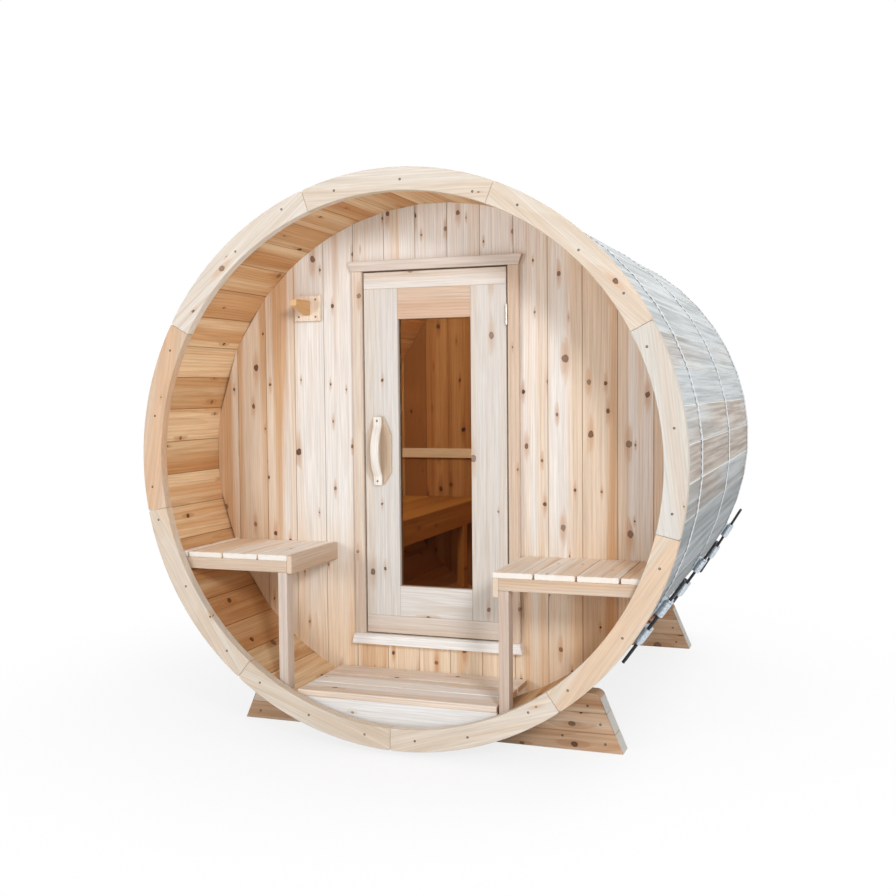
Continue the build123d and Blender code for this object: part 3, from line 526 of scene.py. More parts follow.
# End walls. Tongued boards stand upright side by side, scribed to the barrel and let into grooves in the
# staves. The boards beside the door are notched round it. Sapwood leaves white bands next to orange heart.
PORCH_DEPTH = 0.430
WALL_FRONT = FRONT_Y + PORCH_DEPTH
WALL_DEPTH = 0.038
BACK_WALL_FRONT = FRONT_Y + 2.198
WALL_REACH = 0.9385
BOARD_COVER = 0.127
BOARD_FIRST_JOINT = 0.050
DOORWAY_HALF = 0.287
DOORWAY_BOTTOM = -0.685
DOORWAY_TOP = 0.695
wall_wood = cedar("porch wall cedar", (238, 234, 228), (232, 214, 193), (213, 171, 128), knot=(100, 62, 42),
                  knots=0.75,
                  knot_radius=0.010, heart_share=0.9, ring_depth=0.25, tone=0.5, edge=0.50)
t = wall_wood.node_tree
shader = t.nodes["Principled BSDF"]
unshaded_wall_colour = shader.inputs["Base Color"].links[0].from_socket
# Painted warm shade: lower on the wall the colour turns darker and more orange, standing in for the shade and
# the orange bounce light low in the porch.
place = shader_node(t, "ShaderNodeTexCoord", {}).outputs["Object"]
height = shader_node(t, "ShaderNodeSeparateXYZ", {0: place}).outputs[2]
shade_height = calc(t, "ADD", height, calc(t, "MULTIPLY", streaks(t, place, (9.0, 9.0, 1.5), 2.0), 0.4))
warm_painted_shade = mixed(t, 1.0, unshaded_wall_colour, (1.02, 0.86, 0.68, 1.0), "MULTIPLY")
t.links.new(mixed(t, soft_step(t, shade_height, 1.05, 0.45), unshaded_wall_colour, warm_painted_shade), shader.inputs["Base Color"])
room_wood = cedar("room cedar", (206, 166, 118), (190, 145, 96), (166, 117, 72), knot=(66, 42, 28), knots=0.6,
                  knot_radius=0.013, ring_depth=0.45, tone=0.9, edge=0.40)


def arch(across, through):
    """Height of the barrel's inside over a place across it."""
    return np.sqrt(WALL_REACH**2 - np.clip(np.abs(across), 0, 0.93) ** 2)


def sunk(across, through):
    return -arch(across, through)


def wall_board(left, right, bottom, top, front, tone):
    """An upright board whose ends are heights from the axis, or follow the barrel."""
    corners = [(left, 0), (right, 0), (right, WALL_DEPTH), (left, WALL_DEPTH)]
    ease = min(0.0022, (right - left) / 5)
    return plank(corners, bottom, top, (Z, X, Y), (0, front, AXIS_Z), corner=ease, easing=min(ease, 0.0015),
                 tone=tone)


def board_joints():
    joints = np.arange(-7, 8) * BOARD_COVER + BOARD_FIRST_JOINT
    inside = joints[np.abs(joints) < WALL_REACH - 0.02]
    return np.concatenate([[-WALL_REACH + 0.004], inside, [WALL_REACH - 0.004]])


def porch_wall():
    """Boards from side to side; one that meets the doorway is cut into what stands over, under and beside
    it."""
    boards = []
    joints = board_joints()
    # The two leftmost boards take a darker, warmer tone: painted shade where the ring shades the wall's left
    # side.
    tones = (0.85, 0.90, 0.60, 0.35, 0.25, 0.30, 0.15, 0.05, 0.15, 0.10, 0.30, 0.45, 0.60, 0.50, 0.65)
    for left, right, tone in zip(joints[:-1], joints[1:], tones):
        if right <= -DOORWAY_HALF or left >= DOORWAY_HALF:
            boards.append(wall_board(left, right, sunk, arch, WALL_FRONT, tone))
            continue
        boards.append(wall_board(left, right, DOORWAY_TOP, arch, WALL_FRONT, tone))
        boards.append(wall_board(left, right, sunk, DOORWAY_BOTTOM, WALL_FRONT, tone))
        if left < -DOORWAY_HALF:
            boards.append(wall_board(left, -DOORWAY_HALF, DOORWAY_BOTTOM, DOORWAY_TOP, WALL_FRONT, tone))
        if right > DOORWAY_HALF:
            boards.append(wall_board(DOORWAY_HALF, right, DOORWAY_BOTTOM, DOORWAY_TOP, WALL_FRONT, tone))
    return boards


piece("porch_wall_boards", porch_wall(), wall_wood, "wall_boards", "shell",
      "front_wall_left", "front_wall_right", "front_wall_over_door", "front_wall_under_door")
back_joints = board_joints()
piece("back_wall_boards", [wall_board(left, right, sunk, arch, BACK_WALL_FRONT, None)
                           for left, right in zip(back_joints[:-1], back_joints[1:])],
      room_wood, "wall_boards", "shell", "back_wall")

# Steel bands. Three punched straps go round the barrel over the flats of the staves and draw them together;
# each ends in a pair of cast lugs low on the right side.
BAND_DEPTHS = (0.449, 0.449 + 0.5124 * 1.768, 2.217)
BAND_WIDTH = 0.040
BAND_THICKNESS = 0.002
BAND_OPENINGS = np.radians([-35.5, -34.5, -31.5])
BAND_HALF_MOUTH = math.radians(1.5)
HOLE_PITCH = 0.0254
HOLE_RADIUS = 0.0035


def metal(name, dark, light, roughness, metallic=1.0, mottling=60.0):
    """Bright metal with a faint mottled finish and fine scratches."""
    made = bpy.data.materials.new(name)
    made.use_nodes = True
    tree = made.node_tree
    shader = tree.nodes["Principled BSDF"]
    place = shader_node(tree, "ShaderNodeTexCoord", {}).outputs["Object"]
    spangle = streaks(tree, place, (mottling, mottling, mottling), 3.0, 0.6)
    scratch = streaks(tree, place, (40.0, 900.0, 40.0), 2.0)
    colour = mixed(tree, soft_step(tree, spangle, 0.3, 0.7), linear(*dark), linear(*light))
    tree.links.new(colour, shader.inputs["Base Color"])
    uneven = calc(tree, "MULTIPLY_ADD", scratch, 0.2, calc(tree, "MULTIPLY", spangle, 0.16))
    tree.links.new(calc(tree, "ADD", uneven, roughness - 0.18), shader.inputs["Roughness"])
    shader.inputs["Metallic"].default_value = metallic
    return made


band_steel = metal("punched strap steel", (212, 216, 220), (238, 241, 244), 0.34)


def punched_strap(depth, opening):
    """A strap of equal cells, each a rectangle with an eight-sided hole. The strap follows the flats of the
    staves: at an angle d from the middle of a flat its radius is the flat's distance over cos d."""
    total = 2 * math.pi - 2 * BAND_HALF_MOUTH
    cells = int(total * STAVE_OUTSIDE / HOLE_PITCH)
    turn = np.radians(np.arange(8) * 45 + 22.5)
    hole = HOLE_RADIUS * np.stack([np.cos(turn), np.sin(turn)], axis=1)
    half = total * STAVE_OUTSIDE / cells / 2
    side = BAND_WIDTH / 2
    edge = np.array([(half, 0.4 * side), (0.4 * half, side), (-0.4 * half, side), (-half, 0.4 * side),
                     (-half, -0.4 * side), (-0.4 * half, -side), (0.4 * half, -side), (half, -0.4 * side)])
    edge = np.sign(edge) * np.array([half, side]) * np.where(np.abs(edge) > 0.9 * np.array([half, side]), 1,
                                                             0.45)
    flat = np.concatenate([hole, edge])
    cell = np.concatenate([np.column_stack([flat, np.full(16, height)])
                           for height in (0.0002, BAND_THICKNESS)])
    ring = np.arange(8)
    after = (ring + 1) % 8
    top = np.stack([16 + ring, 24 + ring, 24 + after, 16 + after], axis=1)
    under = np.stack([after, 8 + after, 8 + ring, ring], axis=1)
    bore = np.stack([16 + after, after, ring, 16 + ring], axis=1)
    rim = np.stack([8 + ring, 8 + after, 24 + after, 24 + ring], axis=1)[[1, 5]]
    quads = np.concatenate([top, under, bore, rim])
    middle = opening + BAND_HALF_MOUTH + total * (np.arange(cells) + 0.5) / cells
    angle = middle[:, None] + cell[:, 0] / STAVE_OUTSIDE
    flat_angle = 2 * math.pi / STAVE_COUNT
    tilt = (angle + flat_angle / 2) % flat_angle - flat_angle / 2
    radius = (STAVE_OUTSIDE + cell[:, 2]) / np.cos(tilt)
    points = np.stack([radius * np.cos(angle), np.broadcast_to(FRONT_Y + depth - cell[:, 1], radius.shape),
                       AXIS_Z + radius * np.sin(angle)], axis=-1).reshape(-1, 3)
    faces = (quads[None] + 32 * np.arange(cells)[:, None, None]).reshape(-1, 4)
    return points, faces.tolist()


for label, *place in zip(("front", "middle", "rear"), BAND_DEPTHS, BAND_OPENINGS):
    hang(f"{label}_strap", *punched_strap(*place), band_steel, "band_steel", "shell", [f"band_{label}"],
         crease=28)

# Tensioners. Zinc-plated twin-tube lugs sit on the strap ends, and two long threaded rods through each pair,
# dark with oil, are drawn up with nuts to tighten the barrel.
zinc = metal("zinc plate", (182, 192, 202), (226, 233, 240), 0.44, mottling=140.0)
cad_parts["band_lugs"].data.materials.clear()
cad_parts["band_lugs"].data.materials.append(zinc)
ROD_AXIS = 0.975 / math.cos(math.pi / STAVE_COUNT) + BAND_THICKNESS + 0.002 + 0.015
ROD_RADIUS = 0.0065
ROD_LENGTH = 0.375
ROD_SPACING = 0.040
THREAD_PITCH = 0.0032
NUT_RADIUS, NUT_CHAMFER, NUT_HEIGHT, NUT_PLAY = 0.0122, 0.0011, 0.008, 0.0003
LUG_REACH = ROD_AXIS * math.tan(math.radians(3.5)) + 0.030
rod_steel = metal("oiled rod steel", (38, 38, 40), (86, 86, 88), 0.40, metallic=0.9, mottling=300.0)


def threaded_rod():
    """A rod along its own axis: its radius waves by a helix, crest to root, once per pitch, and tapers in at
    both ends to a closed tip."""
    around = np.linspace(0, 2 * math.pi, 10, endpoint=False)
    along = np.linspace(-ROD_LENGTH / 2, ROD_LENGTH / 2, int(ROD_LENGTH / THREAD_PITCH * 4))
    wave = (along[:, None] / THREAD_PITCH - around / (2 * math.pi)) % 1
    radius = ROD_RADIUS - 0.0011 * np.abs(2 * wave - 1)
    radius[[0, -1]] *= 0.75
    grid = np.stack([radius * np.cos(around), radius * np.sin(around), np.repeat(along[:, None], 10, axis=1)],
                    axis=-1)
    rows = len(along)
    level, step = np.arange(rows - 1)[:, None] * 10, np.arange(10)
    here, beside = level + step, level + (step + 1) % 10
    quads = np.stack([here, beside, beside + 10, here + 10], axis=-1).reshape(-1, 4)
    points = np.concatenate([grid.reshape(-1, 3), [[0, 0, along[0]], [0, 0, along[-1]]]])
    first = np.stack([(step + 1) % 10, step, np.full(10, rows * 10)], axis=-1)
    last = np.stack([step, (step + 1) % 10, np.full(10, 10 + 1)], axis=-1) + (rows - 1) * 10
    return points, [quads, first, last]


def hex_nut(at):
    """A hexagonal nut: six flats between two chamfered ends, closed onto the rod."""
    turn = np.radians(np.arange(12) * 30)
    flats = np.where(np.arange(12) % 2 == 0, NUT_RADIUS, NUT_RADIUS * math.cos(math.pi / 6))
    bore, face = ROD_RADIUS * 0.9, NUT_RADIUS - 0.002
    rings = [(bore, 0), (face, 0), (None, NUT_CHAMFER), (None, NUT_HEIGHT - NUT_CHAMFER), (face, NUT_HEIGHT),
             (bore, NUT_HEIGHT)]
    radius = np.array([flats if r is None else np.full(12, r) for r, _ in rings])
    height = np.array([h for _, h in rings])[:, None] + at
    points = np.stack([radius * np.cos(turn), radius * np.sin(turn), np.broadcast_to(height, radius.shape)],
                      axis=-1)
    level, step = np.arange(5)[:, None] * 12, np.arange(12)
    here, beside = level + step, level + (step + 1) % 12
    return points.reshape(-1, 3), [np.stack([here, beside, beside + 12, here + 12], axis=-1).reshape(-1, 4)]


def at_tensioners(shapes):
    """Copies of shapes made along an upright rod axis, stood at both rods of every band: the rod runs along
    the barrel's tangent at the lugs, as far out as the lugs' bores."""
    points, faces, total = [], [], 0
    for depth, opening in zip(BAND_DEPTHS, BAND_OPENINGS):
        outward = math.cos(opening) * X + math.sin(opening) * Z
        run = -math.sin(opening) * X + math.cos(opening) * Z
        for side in (-0.5, 0.5):
            centre = np.array([0, FRONT_Y + depth, AXIS_Z]) + ROD_AXIS * outward + side * ROD_SPACING * Y
            for shape_points, shape_faces in shapes:
                points.append(centre + shape_points @ np.array([Y, outward, run]))
                faces += [(np.asarray(group) + total).tolist() for group in shape_faces]
                total += len(shape_points)
    return np.concatenate(points), [face for group in faces for face in group]


nuts = [hex_nut(LUG_REACH + NUT_PLAY), hex_nut(-LUG_REACH - NUT_PLAY - NUT_HEIGHT)]
hang("threaded_rods", *at_tensioners([threaded_rod()]), rod_steel, "threaded_rod", "shell", ["tension_rods"])
hang("rod_nuts", *at_tensioners(nuts), zinc, "zinc_plate", "shell")

# Door surround. Two plain casings are nailed over the ends of the notched boards, with a flared head board
# on top and a white, sloping sill below that flares the other way. Thin stops line the doorway inside.
CASING_WIDTH = 0.043
CASING_DEPTH = 0.020
HEAD_HEIGHT, HEAD_DEPTH, HEAD_FLARE = 0.038, 0.026, 0.013
SILL_HEIGHT, SILL_DEPTH, SILL_FLARE, SILL_SLOPE = 0.038, 0.034, 0.010, 0.005
CASING_OUTSIDE = DOORWAY_HALF + CASING_WIDTH
casing_wood = cedar("casing cedar", (227, 212, 196), (221, 199, 178), (208, 177, 146), knots=0.35,
                    knot_radius=0.008,
                    ring_depth=0.25, tone=0.3, edge=0.86)
head_wood = cedar("head board cedar", (222, 213, 204), (215, 201, 188), (206, 182, 158), knots=0.3,
                  knot_radius=0.010,
                  ring_depth=0.22, tone=0.3, end=(196, 164, 132))
sill_wood = cedar("white sill", (252, 251, 248), (249, 247, 243), (244, 240, 233), knot=(214, 204, 192),
                  knots=0.1,
                  ring_depth=0.1, tone=0.2, roughness=0.5, end=(238, 234, 228))


def bar(low, high, lay, corner=0.003, tone=None, **more):
    """A straight board between two corners of the barrel's own frame: x, depth behind the ring's front face
    and height over the axis. lay names its along, across and through directions, such as ZXY."""
    order = ["XYZ".index(letter) for letter in lay]
    low, high = np.minimum(low, high), np.maximum(low, high)
    (s0, a0, b0), (s1, a1, b1) = np.asarray(low)[order], np.asarray(high)[order]
    ease = min(corner, (a1 - a0) / 4, (b1 - b0) / 4)
    corners = [(a0, b0), (a1, b0), (a1, b1), (a0, b1)]
    ends = (more.pop("start", s0), more.pop("end", s1))
    return plank(corners, *ends, np.eye(3)[order], (0, FRONT_Y, AXIS_Z), corner=ease, easing=ease, tone=tone,
                 **more)


casings = [bar((side * DOORWAY_HALF, PORCH_DEPTH - CASING_DEPTH, DOORWAY_BOTTOM),
               (side * CASING_OUTSIDE, PORCH_DEPTH, DOORWAY_TOP),
               "ZXY", tone=tone) for side, tone in ((-1, 0.35), (1, 0.6))]
piece("casing_boards", casings, casing_wood, "door_wood", "shell", "door_casings")


def flared_end(side, level, rise):
    """End cut of a board that widens by the flare over its height."""
    return lambda across, through: side * (CASING_OUTSIDE + rise * (across - level))


head_top = DOORWAY_TOP + HEAD_HEIGHT
flare = HEAD_FLARE / HEAD_HEIGHT
head = bar((-CASING_OUTSIDE, PORCH_DEPTH - HEAD_DEPTH, DOORWAY_TOP), (CASING_OUTSIDE, PORCH_DEPTH, head_top),
           "XZY", tone=0.4,
           start=flared_end(-1, DOORWAY_TOP, flare), end=flared_end(1, DOORWAY_TOP, flare))
piece("head_board", [head], head_wood, "door_wood", "shell", "door_head")
sill_foot = DOORWAY_BOTTOM - SILL_HEIGHT
flare = -SILL_FLARE / SILL_HEIGHT
sill_section = [(DOORWAY_BOTTOM, PORCH_DEPTH), (DOORWAY_BOTTOM, PORCH_DEPTH - CASING_DEPTH),
                (DOORWAY_BOTTOM - SILL_SLOPE, PORCH_DEPTH - SILL_DEPTH),
                (sill_foot, PORCH_DEPTH - SILL_DEPTH), (sill_foot, PORCH_DEPTH)]
sill = plank(sill_section, flared_end(-1, DOORWAY_BOTTOM, flare), flared_end(1, DOORWAY_BOTTOM, flare),
             (X, Z, Y),
             (0, FRONT_Y, AXIS_Z), corner=0.0022, easing=0.0022)
piece("sill_board", [sill], sill_wood, "door_wood", "shell", "door_sill")
stop_depths = (0.457, 0.468)
stops = [bar((side * 0.273, stop_depths[0], DOORWAY_BOTTOM),
             (side * DOORWAY_HALF, stop_depths[1], DOORWAY_TOP), "ZXY",
             corner=0.002) for side in (-1, 1)]
stops.append(bar((-0.2727, stop_depths[0], 0.681), (0.2727, stop_depths[1], DOORWAY_TOP), "XZY",
                 corner=0.002))
piece("stop_laths", stops, casing_wood, "door_wood", "shell", "door_stops")

# Door leaf. Pale planed stiles stand between a full-width top and bottom rail, with two deeper rails between
# them round one tall pane. The joints are glued flush and show as hair lines; the upper inner rail is
# heartwood.
LEAF_HALF = 0.281
LEAF_BOTTOM, LEAF_TOP = -0.679, 0.689
LEAF_FRONT, LEAF_BACK = 0.414, 0.452
STILE_WIDTH = 0.137
PANE_HALF = LEAF_HALF - STILE_WIDTH
STILE_BOTTOM, STILE_TOP = LEAF_BOTTOM + 0.068, LEAF_TOP - 0.062
PANE_BOTTOM, PANE_TOP = STILE_BOTTOM + 0.115, STILE_TOP - 0.115
stile_wood = cedar("door stile cedar", (222, 218, 212), (223, 213, 201), (216, 196, 176), knot=(116, 88, 70),
                   knots=0.6,
                   knot_radius=0.009, balance=-0.04, heart_share=0.45, ring_depth=0.14, tone=0.3, edge=0.80)
outer_rail_wood = cedar("door outer rail cedar", (233, 228, 221), (227, 217, 206), (215, 194, 173),
                        knots=0.25,
                        knot_radius=0.007, ring_depth=0.18, tone=0.3, end=(214, 190, 162), edge=0.80)
inner_rail_wood = cedar("door inner rail cedar", (223, 218, 211), (227, 203, 183), (214, 177, 148), knots=0.3,
                        knot_radius=0.008, ring_depth=0.28, tone=0.8, edge=0.80)
piece("stile_boards", [bar((side * PANE_HALF, LEAF_FRONT, STILE_BOTTOM),
                           (side * LEAF_HALF, LEAF_BACK, STILE_TOP), "ZXY",
                           corner=0.0018, tone=tone) for side, tone in ((-1, 0.25), (1, 0.55))],
      stile_wood, "door_wood", "door", "door_stiles")
piece("outer_rail_boards", [bar((-LEAF_HALF, LEAF_FRONT, low), (LEAF_HALF, LEAF_BACK, high), "XZY",
                                corner=0.0018, tone=tone)
                            for low, high, tone in ((STILE_TOP, LEAF_TOP, 0.45),
                                                    (LEAF_BOTTOM, STILE_BOTTOM, 0.5))],
      outer_rail_wood, "door_wood", "door", "door_outer_rails")
piece("inner_rail_boards", [bar((-PANE_HALF, LEAF_FRONT, low), (PANE_HALF, LEAF_BACK, high), "XZY",
                                corner=0.0018, tone=tone)
                            for low, high, tone in ((PANE_TOP, STILE_TOP, 0.85),
                                                    (STILE_BOTTOM, PANE_BOTTOM, 0.0))],
      inner_rail_wood, "door_wood", "door", "door_inner_rails")

# Pane. Six millimetres of bronze-tinted toughened glass, set in grooves of the stiles and inner rails.
pane_glass = bpy.data.materials.new("bronze glass")
pane_glass.use_nodes = True
t = pane_glass.node_tree
shader = t.nodes["Principled BSDF"]
place = shader_node(t, "ShaderNodeTexCoord", {}).outputs["Object"]
smear = streaks(t, place, (3.0, 3.0, 5.0), 3.0)
t.links.new(mixed(t, soft_step(t, smear, 0.3, 0.7), linear(158, 146, 126), linear(164, 152, 132)),
            shader.inputs["Base Color"])
shader.inputs["Roughness"].default_value = 0.0
shader.inputs["Transmission Weight"].default_value = 1.0
shader.inputs["IOR"].default_value = 1.1
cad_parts["door_glass"].data.materials.clear()
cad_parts["door_glass"].data.materials.append(pane_glass)

# Hinges. Two bright zinc butt hinges, screwed to the casing and to the leaf's edge. The frame half carries
# the pin, and the middle knuckle turns with the door.
hinge_zinc = metal("bright hinge zinc", (206, 204, 198), (232, 230, 224), 0.38, mottling=120.0)
for half in ("hinge_frame_halves", "hinge_door_halves"):
    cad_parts[half].data.materials.clear()
    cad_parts[half].data.materials.append(hinge_zinc)

# Handle. A whittled white-wood grip bows out from two flat feet, each screwed through a vase-shaped plate
# into the latch stile. Its edges are sanded round.
HANDLE_X, HANDLE_Z = -0.223, 0.017
GRIP_HALF, GRIP_WIDTH, FOOT_LENGTH, FOOT_DEPTH = 0.130, 0.034, 0.036, 0.013
FINGER_ROOM, GRIP_DEPTH = 0.026, 0.020
PLATE_DEPTH = 0.010
handle_wood = cedar("handle white wood", (243, 238, 230), (238, 228, 214), (228, 212, 192), knots=0.0,
                    ring_depth=0.14,
                    heart_share=0.3, tone=0.2, roughness=0.5, end=(226, 212, 192))
plate_wood = cedar("handle plate wood", (232, 222, 210), (222, 206, 188), (208, 186, 162), knots=0.1,
                   ring_depth=0.2,
                   heart_share=0.4, tone=0.2, roughness=0.52)
half_plate = np.array([(0.018, -0.130), (0.050, -0.082), (0.050, 0.064), (0.021, 0.130)])
plate_outline = np.concatenate([half_plate, half_plate[::-1] * [-1, 1]]) + [HANDLE_X, HANDLE_Z]
plate = plank(plate_outline, LEAF_FRONT - PLATE_DEPTH, LEAF_FRONT, (Y, X, Z), (0, FRONT_Y, AXIS_Z),
              corner=0.008,
              easing=0.0028, tone=0.4,
              grain=lambda points: (
                  (points - [HANDLE_X, FRONT_Y + LEAF_FRONT, AXIS_Z]) @ np.array([Z, X, Y]).T))
piece("handle_back_plate", [plate], plate_wood, "handle_wood", "door", "handle_plate")


def arc_height(place, half_chord, rise):
    """Height of a circular arc over its chord, zero beyond the chord's ends."""
    radius = (half_chord**2 + rise**2) / (2 * rise)
    return np.sqrt(radius**2 - np.clip(np.abs(place), 0, half_chord) ** 2) - radius + rise


def bowed(local):
    """Along the grip its inner face rises by one arc from the feet, its outer face by another, higher one."""
    along, across, share = local.T
    arch_half = GRIP_HALF - FOOT_LENGTH
    inner = arc_height(along, arch_half, FINGER_ROOM)
    outer = FOOT_DEPTH + arc_height(along, arch_half, FINGER_ROOM + GRIP_DEPTH - FOOT_DEPTH)
    out = LEAF_FRONT - PLATE_DEPTH - inner - share / GRIP_DEPTH * (outer - inner)
    return np.stack([HANDLE_X + across, FRONT_Y + out, AXIS_Z + HANDLE_Z + along], axis=1)


grip_section = [(-GRIP_WIDTH / 2, 0), (GRIP_WIDTH / 2, 0), (GRIP_WIDTH / 2, GRIP_DEPTH),
                (-GRIP_WIDTH / 2, GRIP_DEPTH)]
grip = plank(grip_section, -GRIP_HALF, GRIP_HALF, bowed, corner=0.006, easing=0.004,
             middle=np.linspace(0.03, 0.97, 41), tone=0.3)
piece("bowed_grip", [grip], handle_wood, "handle_wood", "door", "handle_grip")
foot_face = FRONT_Y + LEAF_FRONT - PLATE_DEPTH - FOOT_DEPTH
screw_heads("handle_screws", [(HANDLE_X, foot_face, AXIS_Z + HANDLE_Z + side * 0.114) for side in (-1, 1)],
            "handle_wood", "door", radius=0.004)

# Porch benches. In each corner cedar slats run from front to back over two cross rails, with a board along
# the aisle and one leg scribed to the floor staves. On the left the aisle board is level with the slats.
HOLLOW = 0.9345
BENCH_SLAT, BENCH_RAIL, BENCH_BOARD = 0.020, 0.042, 0.020
BENCH_FRONT, BENCH_BACK = 0.046, PORCH_DEPTH
SLAT_WIDTH, SLAT_GAP = 0.137, 0.007
slat_wood = cedar("bench slat cedar", (253, 249, 242), (249, 234, 215), (236, 206, 172), knots=0.4,
                  knot_radius=0.009,
                  ring_depth=0.32, tone=0.6, end=(236, 228, 218))
rail_wood = cedar("bench rail cedar", (223, 209, 195), (218, 196, 175), (208, 176, 144), knots=0.25,
                  knot_radius=0.009,
                  ring_depth=0.25, tone=0.4, end=(222, 198, 172))
leg_wood = cedar("bench leg cedar", (212, 197, 184), (205, 184, 168), (190, 158, 130), knots=0.25,
                 knot_radius=0.008,
                 ring_depth=0.25, tone=0.5)


def hull_x(height):
    """Half the barrel's inside width at a height over its axis."""
    return np.sqrt(HOLLOW**2 - np.square(height))


def porch_bench(name, side, inner, top, first_width, slats_over_board, tones):
    """One bench from the aisle to the staves: the slats' far edges, the rails' far ends and the leg's foot
    are cut to the barrel, and the aisle board comes up level with the slats or under them."""
    slat_foot = top - BENCH_SLAT
    rail_foot = slat_foot - BENCH_RAIL
    board = inner + BENCH_BOARD
    board_top = slat_foot if slats_over_board else top
    near = inner if slats_over_board else board
    slats = []
    for number, tone in enumerate(tones):
        far = near + (SLAT_WIDTH if number else first_width)
        upper, lower = min(far, hull_x(top)), min(far, hull_x(slat_foot))
        corners = np.array([(near, slat_foot), (lower, slat_foot), (upper, top), (near, top)]) * [side, 1]
        slats.append(plank(corners, BENCH_FRONT, BENCH_BACK, (Y, X, Z), (0, FRONT_Y, AXIS_Z), corner=0.0035,
                           easing=0.0035, tone=tone))
        near = far + SLAT_GAP
    piece(f"{name}_seat_slats", slats, slat_wood, "bench_wood", "shell", f"{name}_slats")

    def wall_end(across, through):
        return side * hull_x(across)

    rails = [bar((side * board, depth, rail_foot), (side * 0.7, depth + 0.036, slat_foot), "XZY",
                 **{"end" if side > 0 else "start": wall_end}) for depth in (BENCH_FRONT, BENCH_BACK - 0.036)]
    piece(f"{name}_rails", rails, rail_wood, "bench_wood", "shell", f"{name}_cross_rails")
    aisle_board = bar((side * inner, BENCH_FRONT, board_top - 0.065), (side * board, BENCH_BACK, board_top),
                      "YZX")
    piece(f"{name}_aisle_board", [aisle_board], rail_wood, "bench_wood", "shell", f"{name}_side_board")
    leg = bar((side * board, BENCH_FRONT, -0.8), (side * (board + 0.036), BENCH_FRONT + 0.050, rail_foot),
              "ZXY",
              start=lambda across, through: -hull_x(across))
    piece(f"{name}_post", [leg], leg_wood, "bench_wood", "shell", f"{name}_leg")


porch_bench("left_bench", -1, 0.411, -0.340, 0.116, False, (0.3, 0.15, 0.55, 0.35))
porch_bench("right_bench", 1, 0.338, -0.363, SLAT_WIDTH, True, (0.75, 0.4, 0.5, 0.6))

# Duckboard. Three loose floor boards lie across the porch on two battens scribed to the floor staves, and a
# white fascia board closes the space under their front edge.
DUCK_TOP, DUCK_BOARD = -0.818, 0.022
DUCK_LEFT, DUCK_RIGHT = -0.397, 0.350
DUCK_FRONT, DUCK_BACK = 0.046, 0.425
duck_wood = cedar("duckboard cedar", (251, 248, 243), (244, 231, 218), (225, 200, 174), knot=(128, 98, 78),
                  knots=0.35,
                  knot_radius=0.008, ring_depth=0.38, tone=0.4, end=(176, 132, 92))
fascia_wood = cedar("fascia white wood", (233, 231, 228), (229, 225, 220), (221, 214, 205),
                    knot=(150, 132, 122),
                    knots=0.25, knot_radius=0.008, ring_depth=0.08, tone=0.1)
duck_pitch = (DUCK_BACK - DUCK_FRONT + 0.005) / 3
duck_foot = DUCK_TOP - DUCK_BOARD
boards = [bar((DUCK_LEFT, DUCK_FRONT + number * duck_pitch, duck_foot),
              (DUCK_RIGHT, DUCK_FRONT + (number + 1) * duck_pitch - 0.005, DUCK_TOP), "XYZ", corner=0.004,
              tone=tone)
          for number, tone in enumerate((0.55, 0.35, 0.65))]
piece("duckboard_floor", boards, duck_wood, "duckboard_wood", "shell", "duckboard_boards")


def scribed(local):
    """The fascia's lower edge follows the barrel: each place keeps its share of the height over it."""
    along, depth, share = local.T
    foot = -hull_x(along)
    return np.stack([along, FRONT_Y + depth, AXIS_Z + foot + share / 0.05 * (duck_foot - foot)], axis=1)


fascia_section = [(0.048, 0), (0.068, 0), (0.068, 0.05), (0.048, 0.05)]
fascia = plank(fascia_section, DUCK_LEFT, DUCK_RIGHT, scribed, corner=0.0015, easing=0.0015,
               middle=np.linspace(0.02, 0.98, 25), grain=lambda points: points @ np.array([X, Z, Y]).T)
piece("duckboard_fascia", [fascia], fascia_wood, "duckboard_wood", "shell", "duckboard_battens")
battens = []
for middle in (DUCK_LEFT + 0.110, DUCK_RIGHT - 0.110):
    near, far = middle - 0.0225, middle + 0.0225
    corners = [(near, -hull_x(near)), (far, -hull_x(far)), (far, duck_foot), (near, duck_foot)]
    battens.append(plank(corners, 0.0683, DUCK_BACK, (Y, X, Z), (0, FRONT_Y, AXIS_Z)))
piece("scribed_battens", battens, duck_wood, "duckboard_wood", "shell")

# Lantern hook. A square plate is screwed to the wall left of the door, and a tapered arm with a notch near
# its tip is glued to it.
HOOK_X, HOOK_Z = -0.518, 0.564
HOOK_PLATE_FRONT = 0.410
hook_plate_wood = cedar("hook plate cedar", (240, 226, 208), (232, 210, 184), (220, 188, 150), knots=0.1,
                        ring_depth=0.25, tone=0.3)
hook_arm_wood = cedar("hook arm cedar", (232, 196, 150), (222, 178, 126), (206, 156, 104), knots=0.0,
                      ring_depth=0.35,
                      tone=0.3, end=(226, 190, 146))
hook_plate = bar((HOOK_X - 0.0545, HOOK_PLATE_FRONT, HOOK_Z - 0.0495),
                 (HOOK_X + 0.0545, PORCH_DEPTH, HOOK_Z + 0.0495), "ZXY", tone=0.3)
piece("hook_back_plate", [hook_plate], hook_plate_wood, "hook_wood", "shell", "hook_plate")


def notched(local):
    """The arm's top edge dips into a notch with one sloping and one square side, and its foot rises to the
    tip."""
    along, across, share = local.T
    dip = np.interp(along, [0, 0.071, 0.078, 0.0925, 0.0935, 0.115], [0, 0, 0.007, 0.007, 0, 0])
    foot = -0.057 + (0.057 - 0.026) * along / 0.115
    height = foot + share / 0.02 * (-dip - foot)
    return np.stack([HOOK_X + across, FRONT_Y + HOOK_PLATE_FRONT - along, AXIS_Z + HOOK_Z + 0.0285 + height],
                    axis=1)


